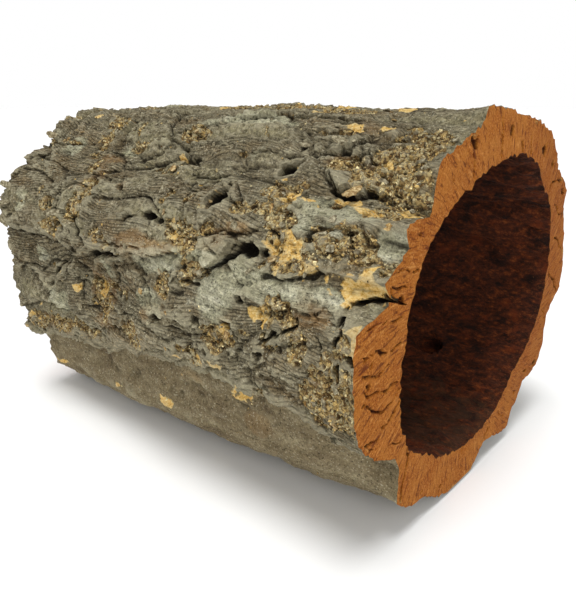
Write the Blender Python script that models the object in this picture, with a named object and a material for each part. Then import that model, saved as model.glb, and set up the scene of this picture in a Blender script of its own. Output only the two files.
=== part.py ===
"""Cork bark tube: one closed sleeve of bark stripped from a cork oak branch and sawn to length.

Units are metres and +Z is up.  The tube lies along X.  Its clean sawn end faces +X, and its
far end, with a broken rim, faces -X.  The origin is on the ground under the middle of the tube.

The shape is worked out in millimetres on an unrolled sleeve.  "u" is the distance from the
sawn end, and "clock" is the angle round the tube, seen from the sawn end: 0 is towards +Y,
90 degrees is the top, 180 is towards -Y and 270 is the underside.
"""

import math

import bmesh
import bpy
import numpy as np
from mathutils import Matrix

MM = 0.001
TURN = 2.0 * math.pi

# Main sizes, in millimetres
LENGTH = 252.0
MEAN_RADIUS = 92.0
LEAST_WALL = 8.0
GROUND_LEVEL = -79.5

# The tube lies on three low points round its weight, and the rest of its underside stays clear of
# the ground: distance from the sawn end, distance towards +Y, half length, half width
LOW_POINTS = ((41, -4, 9, 8), (234, -33, 7, 5), (230, 21, 7, 5))
UNDERSIDE_LIFT = 1.5
UNDERSIDE_REACH = 6.0

# How finely the bark, the bore and the sawn faces are divided
BARK_STEPS_AROUND = 124
BARK_STEPS_ALONG = 37
BORE_STEPS_AROUND = 62
BORE_STEPS_ALONG = 13
FAR_RING_SHARE = 0.5
MARK_NAME = "sleeve"
BARK_MARK = 1
BORE_MARK = 2

# Outline of the bark at the sawn end: clock angle in degrees, radius in millimetres
BARK_OUTLINE = (
    (3, 104), (9, 101), (14, 101), (20, 99), (24, 99), (28, 104), (35, 100), (40, 96), (46, 98),
    (52, 99), (61, 96), (70, 93), (79, 91), (87, 92), (93, 93), (98, 94), (100, 93), (103, 88),
    (112, 88), (120, 89), (124, 90), (126, 88), (129, 84), (134, 79), (138, 85), (142, 90),
    (145, 83), (151, 87), (156, 92), (157.5, 82), (160, 86), (163, 92), (165, 100), (167, 102),
    (171, 100), (179, 98), (185, 98), (189, 96), (194, 93), (198, 89), (202, 84), (208, 76),
    (213, 77), (217, 81), (222, 87), (228, 86), (232, 84), (238, 79), (251, 80), (266, 80),
    (273, 79), (284, 70), (292, 75), (298, 82), (304, 87), (309, 81), (313, 83), (321, 81),
    (327, 91), (332, 96), (337, 95), (342, 92), (347, 90), (351, 93), (356, 103),
)

# Outline of the bark at the far end, before its rim is broken
FAR_OUTLINE = (
    (0, 100), (20, 96), (40, 98), (60, 92), (80, 88), (95, 89), (110, 95), (120, 96),
    (127, 93), (131, 88), (136, 93), (142, 101), (155, 101), (163, 100), (171, 91), (182, 92),
    (192, 95), (199, 99), (206, 96), (211, 94), (218, 103), (223, 101), (232, 97), (245, 88),
    (258, 82), (275, 84), (290, 82), (305, 86), (320, 84), (335, 92), (350, 97),
)

# Outline of the bore at the sawn end, in the same terms
BORE_OUTLINE = (
    (0, 78), (15, 80), (32, 82), (46, 78), (58, 80), (74, 76), (92, 70), (112, 68),
    (139, 71), (161, 69), (172, 67), (194, 69), (211, 69), (226, 63), (251, 60), (271, 59),
    (301, 61), (320, 60), (332, 68), (344, 74),
)

# The thick outer slab ends in a ledge above a younger, smoother band of bark.
# Distance from the sawn end, with the clock angle of the lip there and then the groove's depth
LEDGE_LINE = ((0, 203), (12, 197), (35, 191), (80, 191), (150, 196), (205, 202), (252, 208))
LEDGE_DROP = ((0, 13), (180, 12), (240, 4))
LEDGE_SOFTNESS = math.radians(2.0)
GROOVE_START = math.radians(4.0)
GROOVE_END = math.radians(24.0)
BAND_END = math.radians(252.0)
BAND_RECOVERY = math.radians(20.0)

# Relief is worn down along the top
WORN_TOP = 88.0
WORN_SPREAD = math.radians(20.0)
WORN_SHARE = 0.5

# Holes and hollows: u, clock angle, half length, half width, depth
PITS = (
    (89, 143, 7, 6, 9),
    (64, 129, 7, 6, 8),
    (62, 155, 8, 5, 9),
    (122, 152, 8, 5, 7),
    (122, 130, 5, 5, 7),
    (184, 160, 6, 5, 8),
    (60, 166, 5, 4, 5),
    (108, 180, 10, 4, 7),
    (32, 135, 9, 5, 8),
    (44, 122, 6, 4, 5),
    (27, 112, 5, 4, 5),
    (235, 139, 7, 4, 6),
    (41, 173, 5, 5, 6),
    (8, 176, 4, 5, 5),
    (120, 32, 10, 6, 9),
    (60, 350, 9, 6, 8),
    (185, 12, 11, 6, 9),
    (205, 60, 8, 6, 8),
    (150, 75, 7, 5, 6),
    (95, 330, 9, 5, 6),
    (215, 335, 8, 5, 8),
    (45, 40, 6, 5, 7),
)

# Long fissures: u and clock angle at both ends, half width, depth
FISSURES = (
    (0, 157, 10, 161, 3, 8),
    (10, 161, 13, 171, 3, 6),
    (48, 175, 31, 168, 3, 5),
    (81, 162, 66, 156, 3, 5),
    (164, 166, 134, 164, 3, 5),
    (201, 178, 190, 172, 3, 5),
    (0, 284, 50, 289, 4, 5),
    (40, 350, 90, 346, 4, 6),
    (130, 352, 190, 0, 4, 7),
    (30, 18, 80, 14, 4, 6),
    (120, 47, 180, 40, 4, 7),
    (40, 66, 90, 61, 4, 5),
    (170, 84, 220, 91, 4, 4),
    (110, 320, 170, 314, 4, 6),
)

# Raised knolls left where the outer layers are thickest: u, clock, half length, half width, rise
KNOLLS = (
    (95, 122, 26, 15, 3),
    (40, 145, 20, 12, 3),
    (135, 158, 24, 13, 3),
    (185, 150, 22, 12, 2.4),
    (20, 171, 18, 10, 2),
    (120, 184, 30, 8, 2.4),
    (215, 186, 24, 12, 2.4),
    (60, 25, 30, 14, 3.6),
    (160, 22, 34, 15, 3.6),
    (110, 78, 30, 12, 2),
    (200, 310, 26, 14, 3),
    (60, 330, 24, 12, 3),
)

# Broken edges of the outer layers, with the raised side on the left of each line: points of
# u and clock angle, then the rise and how far it reaches back
SCARPS = (
    (((91, 165), (78, 161), (68, 153), (75, 152), (89, 158)), 5, 16),
    (((167, 165), (130, 163), (102, 160), (89, 158)), 2.4, 16),
    (((154, 144), (168, 145), (168, 153), (176, 158)), 2.6, 16),
    (((106, 133), (128, 132), (138, 125), (150, 123), (168, 128)), 3.2, 14),
    (((50, 125), (41, 132), (33, 134), (18, 132)), 5, 15),
    (((56, 157), (47, 160), (30, 157), (23, 155)), 2.4, 14),
    (((15, 166), (11, 163), (4, 160), (0, 155)), 3, 12),
    (((67, 138), (61, 142), (45, 141)), 3.2, 8),
    (((115, 180), (101, 177), (81, 176)), 4, 12),
    (((250, 128), (236, 131), (218, 146)), 3, 12),
    (((245, 180), (230, 176), (214, 178), (204, 184)), 3, 14),
    (((20, 35), (60, 30), (95, 34), (120, 28)), 4, 16),
    (((230, 20), (190, 14), (150, 17), (135, 22)), 4, 16),
    (((20, 350), (70, 355), (110, 350), (140, 356)), 4, 16),
    (((160, 60), (130, 66), (95, 62), (70, 68)), 3.4, 14),
    (((240, 340), (200, 346), (170, 341), (150, 346)), 3.6, 14),
    (((30, 300), (80, 304), (130, 298), (170, 303)), 3.4, 16),
    (((235, 70), (205, 74), (180, 70), (165, 76)), 3, 14),
)
SCARP_DIP = 0.35
SCARP_DIP_REACH = 4.0

# Plates of bark: length, width, how far they differ in height and tilt, depth between them
PLATE_LENGTH = 62.0
PLATE_WIDTH = 27.0
PLATE_HEIGHTS = 1.8
PLATE_TILT = 3.6
PLATE_FURROW = 1.6
BEND_SIZE = (38.0, 22.0)
BEND = 6.0
CURL_SIZE = (45.0, 30.0)
CURL = 18.0
BAND_RELIEF = 0.2

# Swellings along the grain: rise, length and width
RIDGES = ((3.1, 130.0, 40.0), (1.4, 36.0, 16.0), (0.6, 18.0, 11.0))

# Ribs in the bore: rise, length and width
RIBS = ((1.6, 70.0, 12.0), (1.0, 18.0, 8.0))
RIB_START = 12.0

# How fast the outlines of the sawn end give way to the softer body behind it
BARK_BLEND = 22.0
BORE_BLEND = 30.0

# The lip of the ledge wanders by this many degrees, over this length and width
LIP_WANDER = 2.2
LIP_SIZE = (14.0, 9.0)

# Chips out of the far rim: width and share of each, then the usual depth and the spread
CHIPS = ((21.0, 1.0), (8.0, 0.6))
CHIP_DEPTH = 4.5
CHIP_SPREAD = 5.0
CHIP_RANGE = (-0.8, 1.2)

# Two numbers with no common factor, to read a height and a tilt out of one whole number
HEIGHT_STEPS = 97
TILT_STEPS = 89

# Weathered grey-brown of the bark
BARK_COLOUR = (0.155, 0.13, 0.095, 1.0)
BARK_ROUGHNESS = 0.9

EDGE_DIRECTIONS = np.array([
    (x, y, z)
    for x in (-1, 0, 1) for y in (-1, 0, 1) for z in (-1, 0, 1)
    if abs(x) + abs(y) + abs(z) == 2
], dtype=float)


def remove_objects():
    """Start from an empty scene."""
    for obj in list(bpy.data.objects):
        bpy.data.objects.remove(obj, do_unlink=True)


def corner_number(x, y, z, seed):
    """A repeatable whole number for each corner of the noise lattice."""
    mixed = (x * 374761393 + y * 668265263 + z * 1013904223 + seed * 362437) & 0xFFFFFFFF
    mixed = ((mixed ^ (mixed >> 13)) * 1274126177) & 0xFFFFFFFF
    return (mixed ^ (mixed >> 16)) & 0xFFFF


def noise(x, y, z, seed):
    """Smooth random relief, about -1 to 1, at each point."""
    corner = [np.floor(value).astype(np.int64) for value in (x, y, z)]
    part = [value - low for value, low in zip((x, y, z), corner)]
    ease = [p * p * p * (p * (6 * p - 15) + 10) for p in part]
    total = np.zeros_like(part[0])
    for dx in (0, 1):
        for dy in (0, 1):
            for dz in (0, 1):
                number = corner_number(corner[0] + dx, corner[1] + dy, corner[2] + dz, seed)
                slope = EDGE_DIRECTIONS[number % len(EDGE_DIRECTIONS)]
                climb = (slope[..., 0] * (part[0] - dx) + slope[..., 1] * (part[1] - dy)
                         + slope[..., 2] * (part[2] - dz))
                weight = ((ease[0] if dx else 1 - ease[0]) * (ease[1] if dy else 1 - ease[1])
                          * (ease[2] if dz else 1 - ease[2]))
                total += climb * weight
    return total * 1.5


def nearest_cells(x, y, z, seed):
    """Distances to the nearest and second nearest cell seed, the nearest one's number and offset."""
    corner = [np.floor(value).astype(np.int64) for value in (x, y, z)]
    first = np.full(x.shape, 9.0)
    second = np.full(x.shape, 9.0)
    number = np.zeros(x.shape, dtype=np.int64)
    offset = np.zeros(x.shape)
    for dx in (-1, 0, 1):
        for dy in (-1, 0, 1):
            for dz in (-1, 0, 1):
                place = (corner[0] + dx, corner[1] + dy, corner[2] + dz)
                jitter = [corner_number(*place, seed + n) / 65535.0 for n in (1, 2, 3)]
                across = [p + j - value for p, j, value in zip(place, jitter, (x, y, z))]
                far = np.sqrt(across[0] ** 2 + across[1] ** 2 + across[2] ** 2)
                closer = far < first
                second = np.where(closer, first, np.minimum(second, far))
                number = np.where(closer, corner_number(*place, seed), number)
                offset = np.where(closer, across[0], offset)
                first = np.where(closer, far, first)
    return first, second, number, offset


def read_outline(outline, clock):
    """Radius of a hand-drawn outline at each clock angle."""
    angles = np.radians([point[0] for point in outline])
    radii = [point[1] for point in outline]
    return np.interp(clock, angles, radii, period=TURN)


def soften_outline(outline, spread_degrees):
    """The same outline with everything narrower than the spread smoothed away."""
    clock = np.radians(np.arange(360))
    radii = read_outline(outline, clock)
    reach = np.arange(-3 * spread_degrees, 3 * spread_degrees + 1)
    weight = np.exp(-0.5 * (reach / spread_degrees) ** 2)
    weight /= weight.sum()
    return [
        (degree, float(np.sum(weight * radii[(degree + reach) % 360])))
        for degree in range(0, 360, 3)
    ]


def smooth_step(value, low, high):
    """0 below low, 1 above high, with an eased rise between them."""
    t = np.clip((value - low) / (high - low), 0.0, 1.0)
    return t * t * (3 - 2 * t)


def clock_gap(clock, degrees):
    """Signed angle from the given clock position, in radians."""
    return (clock - np.radians(degrees) + math.pi) % TURN - math.pi


def on_sleeve(u, clock):
    """Points on the round mean sleeve, so that patterns close without a seam."""
    return u, MEAN_RADIUS * np.cos(clock), MEAN_RADIUS * np.sin(clock)


def grain_noise(u, clock, size, seed):
    """Random relief stretched along the grain, with the given length and width."""
    x, y, z = on_sleeve(u, clock)
    return noise(x / size[0], y / size[1], z / size[1], seed)


def plate_relief(u, clock):
    """Long plates of bark, each at its own height and tilt, with furrows between them."""
    x, y, z = on_sleeve(u, clock)
    bend = BEND * grain_noise(u, clock, BEND_SIZE, 11)
    curl = CURL * grain_noise(u, clock, CURL_SIZE, 12)
    first, second, number, offset = nearest_cells(
        (x + curl) / PLATE_LENGTH, (y + bend) / PLATE_WIDTH, (z + bend) / PLATE_WIDTH, 21)
    furrow = 1.0 - smooth_step(second - first, 0.0, 0.28)
    height = (number % HEIGHT_STEPS) / HEIGHT_STEPS - 0.5
    tilt = (number // HEIGHT_STEPS % TILT_STEPS) / TILT_STEPS - 0.5
    return PLATE_HEIGHTS * height + PLATE_TILT * tilt * offset - PLATE_FURROW * furrow


def ridge_relief(u, clock):
    """Broad swellings that run with the grain, and finer lumps on them."""
    return sum(
        rise * grain_noise(u, clock, (length, width), 31 + count)
        for count, (rise, length, width) in enumerate(RIDGES))


def scarp_relief(u, clock):
    """Rise behind each broken edge, and the dip in front of it."""
    total = np.zeros_like(u)
    for points, rise, reach in SCARPS:
        middle = points[len(points) // 2]
        around = clock_gap(clock, middle[1]) * MEAN_RADIUS
        line = [(at, math.radians(degrees - middle[1]) * MEAN_RADIUS) for at, degrees in points]
        pairs = list(zip(line, line[1:]))
        best = np.full(u.shape, LENGTH)
        lean = np.zeros_like(u)
        place = np.zeros_like(u)
        for count, (start, end) in enumerate(pairs):
            du, ds = end[0] - start[0], end[1] - start[1]
            square = du * du + ds * ds
            along = np.clip(((u - start[0]) * du + (around - start[1]) * ds) / square, 0.0, 1.0)
            away = np.hypot(u - start[0] - along * du, around - start[1] - along * ds)
            side = du * (around - start[1]) - ds * (u - start[0])
            closer = away < best
            best = np.where(closer, away, best)
            lean = np.where(closer, side, lean)
            place = np.where(closer, (count + along) / len(pairs), place)
        taper = smooth_step(place, 0.0, 0.2) * (1 - smooth_step(place, 0.8, 1.0))
        raised = rise * (1 - smooth_step(best, 0.0, reach))
        dipped = -SCARP_DIP * rise * (1 - smooth_step(best, 0.0, SCARP_DIP_REACH))
        total += taper * np.where(lean > 0, raised, dipped)
    return total


def hollows(u, clock):
    """Depth of the pits and fissures at each point."""
    depth = np.zeros_like(u)
    for centre, degrees, half_length, half_width, deep in PITS:
        along = (u - centre) / half_length
        across = clock_gap(clock, degrees) * MEAN_RADIUS / half_width
        depth = np.maximum(depth, deep * (1 - smooth_step(np.hypot(along, across), 0.45, 1.15)))
    for start, start_degrees, end, end_degrees, half_width, deep in FISSURES:
        share = np.clip((u - start) / (end - start), 0.0, 1.0)
        degrees = start_degrees + share * ((end_degrees - start_degrees + 180) % 360 - 180)
        across = (clock - np.radians(degrees) + math.pi) % TURN - math.pi
        beyond = np.maximum(np.maximum(min(start, end) - u, u - max(start, end)), 0.0)
        away = np.hypot(across * MEAN_RADIUS, beyond) / half_width
        depth = np.maximum(depth, deep * (1 - smooth_step(away, 0.2, 1.2)))
    return depth


def knolls(u, clock):
    """Rise of the knolls at each point."""
    rise = np.zeros_like(u)
    for centre, degrees, half_length, half_width, high in KNOLLS:
        along = (u - centre) / half_length
        across = clock_gap(clock, degrees) * MEAN_RADIUS / half_width
        rise = np.maximum(rise, high * (1 - smooth_step(np.hypot(along, across), 0.5, 1.2)))
    return rise


def ledge_drop(u, clock):
    """Depth of the groove under the slab's lip, and the share of each point that is band."""
    lip = np.radians(np.interp(u, *zip(*LEDGE_LINE)))
    past = clock - lip - math.radians(LIP_WANDER) * grain_noise(u, clock, LIP_SIZE, 41)
    band = smooth_step(past, -LEDGE_SOFTNESS, LEDGE_SOFTNESS)
    band = band * (1 - smooth_step(clock, BAND_END - BAND_RECOVERY, BAND_END))
    deep = np.interp(u, *zip(*LEDGE_DROP))
    return deep * band * (1 - smooth_step(past, GROOVE_START, GROOVE_END)), band


BARK_BODY_OUTLINE = soften_outline(BARK_OUTLINE, 9)
FAR_BODY_OUTLINE = soften_outline(FAR_OUTLINE, 4)
BORE_BODY_OUTLINE = soften_outline(BORE_OUTLINE, 7)


def bore_radius(u, clock):
    """Radius of the bore, ribbed along the grain by the wood that it grew on."""
    end_share = np.exp(-u / BORE_BLEND)
    outline = (end_share * read_outline(BORE_OUTLINE, clock)
               + (1 - end_share) * read_outline(BORE_BODY_OUTLINE, clock))
    ribs = sum(
        rise * grain_noise(u, clock, (length, width), 51 + count)
        for count, (rise, length, width) in enumerate(RIBS))
    return outline + ribs * smooth_step(u, 0.0, RIB_START)


def body_outline(u, clock):
    """Radius of the bark before its relief, from the near body to the far end."""
    share = np.sqrt(np.clip(u / LENGTH, 0.0, 1.0))
    near = read_outline(BARK_BODY_OUTLINE, clock)
    far = read_outline(FAR_BODY_OUTLINE, clock)
    return near + share * (far - near)


def bark_radius(u, clock):
    """Radius of the outer bark at each point."""
    end_share = np.exp(-u / BARK_BLEND)
    drop, band = ledge_drop(u, clock)
    worn = WORN_SHARE * np.exp(-(clock_gap(clock, WORN_TOP) / WORN_SPREAD) ** 2)
    relief = (plate_relief(u, clock) + knolls(u, clock)) * (1 - (1 - BAND_RELIEF) * band)
    relief = (relief + ridge_relief(u, clock)) * (1 - worn) + scarp_relief(u, clock) * (1 - band)
    body = body_outline(u, clock) - drop + relief
    radius = end_share * read_outline(BARK_OUTLINE, clock) + (1 - end_share) * body
    radius = radius - hollows(u, clock) * (1 - band)
    return np.maximum(radius, bore_radius(u, clock) + LEAST_WALL)


def broken_rim(clock):
    """How far the bark is broken back from the far end at each clock angle."""
    chips = sum(
        share * grain_noise(np.zeros_like(clock), clock, (1.0, width), 61 + count)
        for count, (width, share) in enumerate(CHIPS))
    return CHIP_DEPTH + CHIP_SPREAD * np.clip(chips, *CHIP_RANGE)


def add_sleeve(mesh, steps_around, steps_along, radius_at, rim_at, mark):
    """Add an open sleeve, divided both ways, shaped to the bark or the bore and marked as it."""
    sleeve = bmesh.new()
    bmesh.ops.create_cone(
        sleeve, cap_ends=False, segments=steps_around, radius1=1.0, radius2=1.0, depth=1.0)
    lengthwise = [
        edge for edge in sleeve.edges
        if abs(edge.verts[0].co.z - edge.verts[1].co.z) > 0.5
    ]
    bmesh.ops.subdivide_edges(
        sleeve, edges=lengthwise, cuts=steps_along - 1, use_grid_fill=True)
    shape_sleeve(sleeve.verts[:], radius_at, rim_at)
    marks = sleeve.verts.layers.int.new(MARK_NAME)
    for vertex in sleeve.verts:
        vertex[marks] = mark
    data = bpy.data.meshes.new("sleeve")
    sleeve.to_mesh(data)
    sleeve.free()
    mesh.from_mesh(data)
    bpy.data.meshes.remove(data)


def shape_sleeve(vertices, radius_at, rim_at):
    """Lay an open sleeve along X, from 0 back to its rim, in millimetres."""
    unit = np.array([vertex.co[:] for vertex in vertices], dtype=float)
    clock = np.arctan2(unit[:, 1], unit[:, 0]) % TURN
    u = (0.5 - unit[:, 2]) * (LENGTH - rim_at(clock))
    radius = radius_at(u, clock)
    for vertex, along, angle, reach in zip(vertices, u, clock, radius):
        across = reach * math.cos(angle)
        vertex.co = (-along, across, seated(along, across, reach * math.sin(angle)))


def seated(along, across, height):
    """Height of a point of the underside once the tube lies on its three low points."""
    away = min(
        math.hypot((along - place) / half_length, (across - side) / half_width)
        for place, side, half_length, half_width in LOW_POINTS)
    if away <= 1.0 and height < GROUND_LEVEL + UNDERSIDE_REACH:
        return GROUND_LEVEL
    return max(height, GROUND_LEVEL + UNDERSIDE_LIFT * float(smooth_step(away, 1.0, 2.0)))


def end_loop(mesh, mark, far_end):
    """The edges round one open end of the bark or the bore."""
    marks = mesh.verts.layers.int[MARK_NAME]
    chosen = []
    for edge in mesh.edges:
        first, second = edge.verts
        if not edge.is_boundary or first[marks] != mark or second[marks] != mark:
            continue
        if (first.co.x < -0.5 * LENGTH) == far_end:
            chosen.append(edge)
    return chosen


def far_face_ring(mesh, bark_rim):
    """Extrude the broken rim inward to a ring that lies in the sawn plane of the far end."""
    made = bmesh.ops.extrude_edge_only(mesh, edges=bark_rim)
    for vertex in made["geom"]:
        if not isinstance(vertex, bmesh.types.BMVert):
            continue
        clock = math.atan2(vertex.co.z, vertex.co.y) % TURN
        bark = math.hypot(vertex.co.y, vertex.co.z)
        bore = float(bore_radius(np.array([LENGTH]), np.array([clock]))[0])
        reach = bore + FAR_RING_SHARE * (bark - bore)
        vertex.co = (-LENGTH, reach * math.cos(clock), reach * math.sin(clock))
    return [item for item in made["geom"]
            if isinstance(item, bmesh.types.BMEdge) and item.is_boundary]


def build_tube():
    """Model the bark, the bore and the two ends as one closed skin."""
    mesh = bmesh.new()
    add_sleeve(mesh, BARK_STEPS_AROUND, BARK_STEPS_ALONG, bark_radius, broken_rim, BARK_MARK)
    add_sleeve(mesh, BORE_STEPS_AROUND, BORE_STEPS_ALONG, bore_radius, np.zeros_like, BORE_MARK)
    near_edges = end_loop(mesh, BARK_MARK, False) + end_loop(mesh, BORE_MARK, False)
    bmesh.ops.triangle_fill(mesh, edges=near_edges, use_beauty=True)
    far_ring = far_face_ring(mesh, end_loop(mesh, BARK_MARK, True))
    bmesh.ops.triangle_fill(
        mesh, edges=far_ring + end_loop(mesh, BORE_MARK, True), use_beauty=True)
    bmesh.ops.triangulate(mesh, faces=mesh.faces[:])
    bmesh.ops.recalc_face_normals(mesh, faces=mesh.faces[:])
    return mesh


def place_on_ground(mesh):
    """Bring the tube to metres, with its origin under the middle of its box."""
    low = [min(vertex.co[axis] for vertex in mesh.verts) for axis in range(3)]
    high = [max(vertex.co[axis] for vertex in mesh.verts) for axis in range(3)]
    centre = [0.5 * (a + b) for a, b in zip(low, high)]
    move = Matrix.Translation((-centre[0], -centre[1], -low[2]))
    bmesh.ops.transform(mesh, matrix=Matrix.Scale(MM, 4) @ move, verts=mesh.verts[:])


def bark_material():
    """Rough, dry, weathered bark."""
    material = bpy.data.materials.new("cork_bark")
    material.use_nodes = True
    shader = material.node_tree.nodes["Principled BSDF"]
    shader.inputs["Base Color"].default_value = BARK_COLOUR
    shader.inputs["Roughness"].default_value = BARK_ROUGHNESS
    shader.inputs["Metallic"].default_value = 0.0
    material.diffuse_color = BARK_COLOUR
    return material


def main():
    """Build the one-piece tube."""
    remove_objects()
    mesh = build_tube()
    place_on_ground(mesh)
    data = bpy.data.meshes.new("cork_bark_tube")
    mesh.to_mesh(data)
    mesh.free()
    data.materials.append(bark_material())
    tube = bpy.data.objects.new("cork_bark_tube", data)
    bpy.context.scene.collection.objects.link(tube)


main()
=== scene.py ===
"""Looks of a cork bark tube: weathered bark, sawn ends and a dark bore, with a plain studio."""

import functools
import math

import bmesh
import bpy
import numpy as np
from mathutils import Matrix, Vector


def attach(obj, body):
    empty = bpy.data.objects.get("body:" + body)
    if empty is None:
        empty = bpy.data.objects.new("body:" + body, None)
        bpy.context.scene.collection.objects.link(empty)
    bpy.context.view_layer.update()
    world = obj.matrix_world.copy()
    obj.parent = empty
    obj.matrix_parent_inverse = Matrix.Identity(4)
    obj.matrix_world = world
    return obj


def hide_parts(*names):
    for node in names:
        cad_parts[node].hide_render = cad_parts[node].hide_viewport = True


bl_info = {
    "name": "Cork bark tube",
    "version": (1, 0, 0),
    "blender": (4, 5, 0),
    "location": "View3D > Sidebar > Cork bark",
    "description": "Models the weathered bark, the sawn ends and the bore of a cork bark tube",
    "category": "Object",
}

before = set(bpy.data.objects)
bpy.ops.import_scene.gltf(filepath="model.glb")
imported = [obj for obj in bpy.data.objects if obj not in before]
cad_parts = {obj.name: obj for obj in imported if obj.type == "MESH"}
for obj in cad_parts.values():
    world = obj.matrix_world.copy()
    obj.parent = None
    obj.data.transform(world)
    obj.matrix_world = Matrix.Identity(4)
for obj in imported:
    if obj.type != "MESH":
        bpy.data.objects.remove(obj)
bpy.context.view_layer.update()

MM = 0.001
TURN = 2.0 * math.pi
NODE = "cork_bark_tube"

# Middle of the sawn face in the frame, in metres
FACE_CENTRE = (0.126, -0.0023, 0.0795)

# In all lists, u is the distance from the sawn end in millimetres, and clock is the angle round
# the bore in degrees, from +Y up towards +Z.  Lengths, widths and depths are in millimetres

# Main sizes, as in the solid
LENGTH = 252.0
MEAN_RADIUS = 92.0
LEAST_WALL = 8.0
GROUND_LEVEL = -79.5

# Least wall left under a pit, and mean radii of the bore and of the middle of the sawn face
PIT_WALL = 4.0
BORE_RADIUS = 68.0
FACE_RADIUS = 84.0

# How far in from the cut the sharper outlines at the sawn end fade into the softer ones
BARK_FADE = 22.0
BORE_FADE = 30.0

# Fine lines of the grain, counted round the whole tube
GRAIN_LINES = 390

# Triangles no further than this from the plane of the cut belong to it
FLAT_OF_CUT = 0.3

# The tube lies on three low points, as the solid does: distance from the sawn end, distance
# towards +Y, half length, half width
LOW_POINTS = ((41, -4, 9, 8), (234, -33, 7, 5), (230, 21, 7, 5))
UNDERSIDE_LIFT = 1.5
UNDERSIDE_REACH = 6.0

# Outline of the bark at the sawn end: clock, radius
BARK_OUTLINE = (
    (3, 104), (9, 101), (14, 101), (20, 99), (24, 99), (28, 104), (35, 100), (40, 96), (46, 98),
    (52, 99), (61, 96), (70, 93), (79, 91), (87, 92), (93, 93), (98, 94), (100, 93), (103, 88),
    (112, 88), (120, 89), (124, 90), (126, 88), (129, 84), (134, 79), (138, 85), (142, 90),
    (145, 83), (151, 87), (155, 91), (157, 85), (159, 84), (161, 88), (164, 96), (166, 101),
    (171, 100), (179, 98), (185, 98), (189, 96), (194, 93), (198, 89), (202, 84), (208, 76),
    (213, 77), (217, 81), (222, 87), (228, 86), (232, 84), (238, 79), (251, 80), (266, 80),
    (273, 79), (284, 70), (292, 75), (298, 82), (304, 87), (309, 81), (313, 83), (321, 81),
    (327, 91), (332, 96), (337, 95), (342, 92), (347, 90), (351, 93), (356, 103),
)

# Outline of the bark at the far end, before its rim is broken
FAR_OUTLINE = (
    (0, 100), (20, 96), (40, 98), (60, 92), (80, 88), (95, 89), (110, 95), (120, 96),
    (127, 93), (131, 88), (136, 93), (142, 101), (155, 101), (163, 100), (171, 91), (182, 92),
    (192, 95), (199, 99), (206, 96), (211, 94), (218, 103), (223, 101), (232, 97), (245, 88),
    (258, 82), (275, 84), (290, 82), (305, 86), (320, 84), (335, 92), (350, 97),
)

# Outline of the bore at the sawn end, in the same terms
BORE_OUTLINE = (
    (0, 78), (15, 80), (32, 82), (46, 78), (58, 80), (74, 76), (92, 70), (112, 68),
    (139, 71), (161, 69), (172, 67), (194, 69), (211, 69), (226, 63), (251, 60), (271, 59),
    (301, 61), (320, 60), (332, 68), (344, 74),
)

# Ledge where the thick outer slab ends above a younger, smoother band of bark
LEDGE_LINE = ((0, 203), (12, 197), (35, 191), (80, 191), (150, 196), (205, 202), (252, 208))
LEDGE_DROP = ((0, 13), (180, 12), (240, 4))
LEDGE_SOFTNESS = math.radians(1.2)
GROOVE_START = math.radians(4.0)
GROOVE_END = math.radians(24.0)
BAND_END = math.radians(252.0)
BAND_RECOVERY = math.radians(20.0)

# Relief is worn down along the top
WORN_TOP = 88.0
WORN_SPREAD = math.radians(20.0)
WORN_SHARE = 0.5

# The camera of the photograph.  What can be seen there is placed by its pixel, counted from the
# top left corner.  What the photograph hides is placed by u and clock
PHOTO_WIDTH = 576.0
PHOTO_HEIGHT = 600.0
CAMERA_FROM_FACE = (0.1036, -0.2498, 0.0992)
CAMERA_AZIMUTH = math.radians(41.1)
CAMERA_ELEVATION = math.radians(18.86)
CAMERA_LENS = 37.04
CAMERA_SENSOR = 36.0

# Stretch of each line of sight that is searched for the bark, and the step of the search
SIGHT_START = 130.0
SIGHT_END = 600.0
SIGHT_STEP = 0.5

# Holes and hollows: pixel or place, half length, half width, depth
SEEN_PITS = (
    (215, 197, 4.5, 5.5, 9), (290, 167, 5, 3.6, 8), (197, 160, 2.4, 2, 7), (148, 215, 5, 2, 8),
    (62, 224, 3.5, 3.2, 9), (33, 235, 2, 1.8, 6), (246, 249, 5, 3.3, 9), (224, 322, 3, 1.6, 6),
    (160, 320, 4.8, 2, 8), (347, 197, 4.5, 1.8, 8), (375, 199, 2, 1.6, 7), (402, 140, 2.5, 1.5, 5),
    (350, 233, 2, 1.2, 5), (354, 240, 1, 1, 4), (352, 248, 1, 1, 4), (239, 297, 2.5, 1.6, 6),
    (274, 338, 2, 2, 6), (337, 378, 1.2, 3.4, 6), (350, 362, 3, 1.4, 5), (336, 322, 0.8, 2.5, 5),
    (333, 342, 1, 1.8, 5), (205, 352, 1.5, 1.5, 5), (186, 350, 1.2, 1.5, 4),
    (120, 186, 2.7, 1.8, 5), (45, 158, 4, 1.2, 5), (262, 253, 2.5, 2, 5), (159, 222, 2, 2, 4),
    (70, 250, 3, 2, 6), (195, 323, 2.5, 2, 4), (345, 152, 3, 2, 5), (306, 235, 2, 1.5, 4),
    (57, 272, 1.6, 4, 6), (256, 356, 2, 2.4, 4), (335, 134, 3, 2, 4), (305, 148, 3, 1.6, 4),
)
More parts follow.
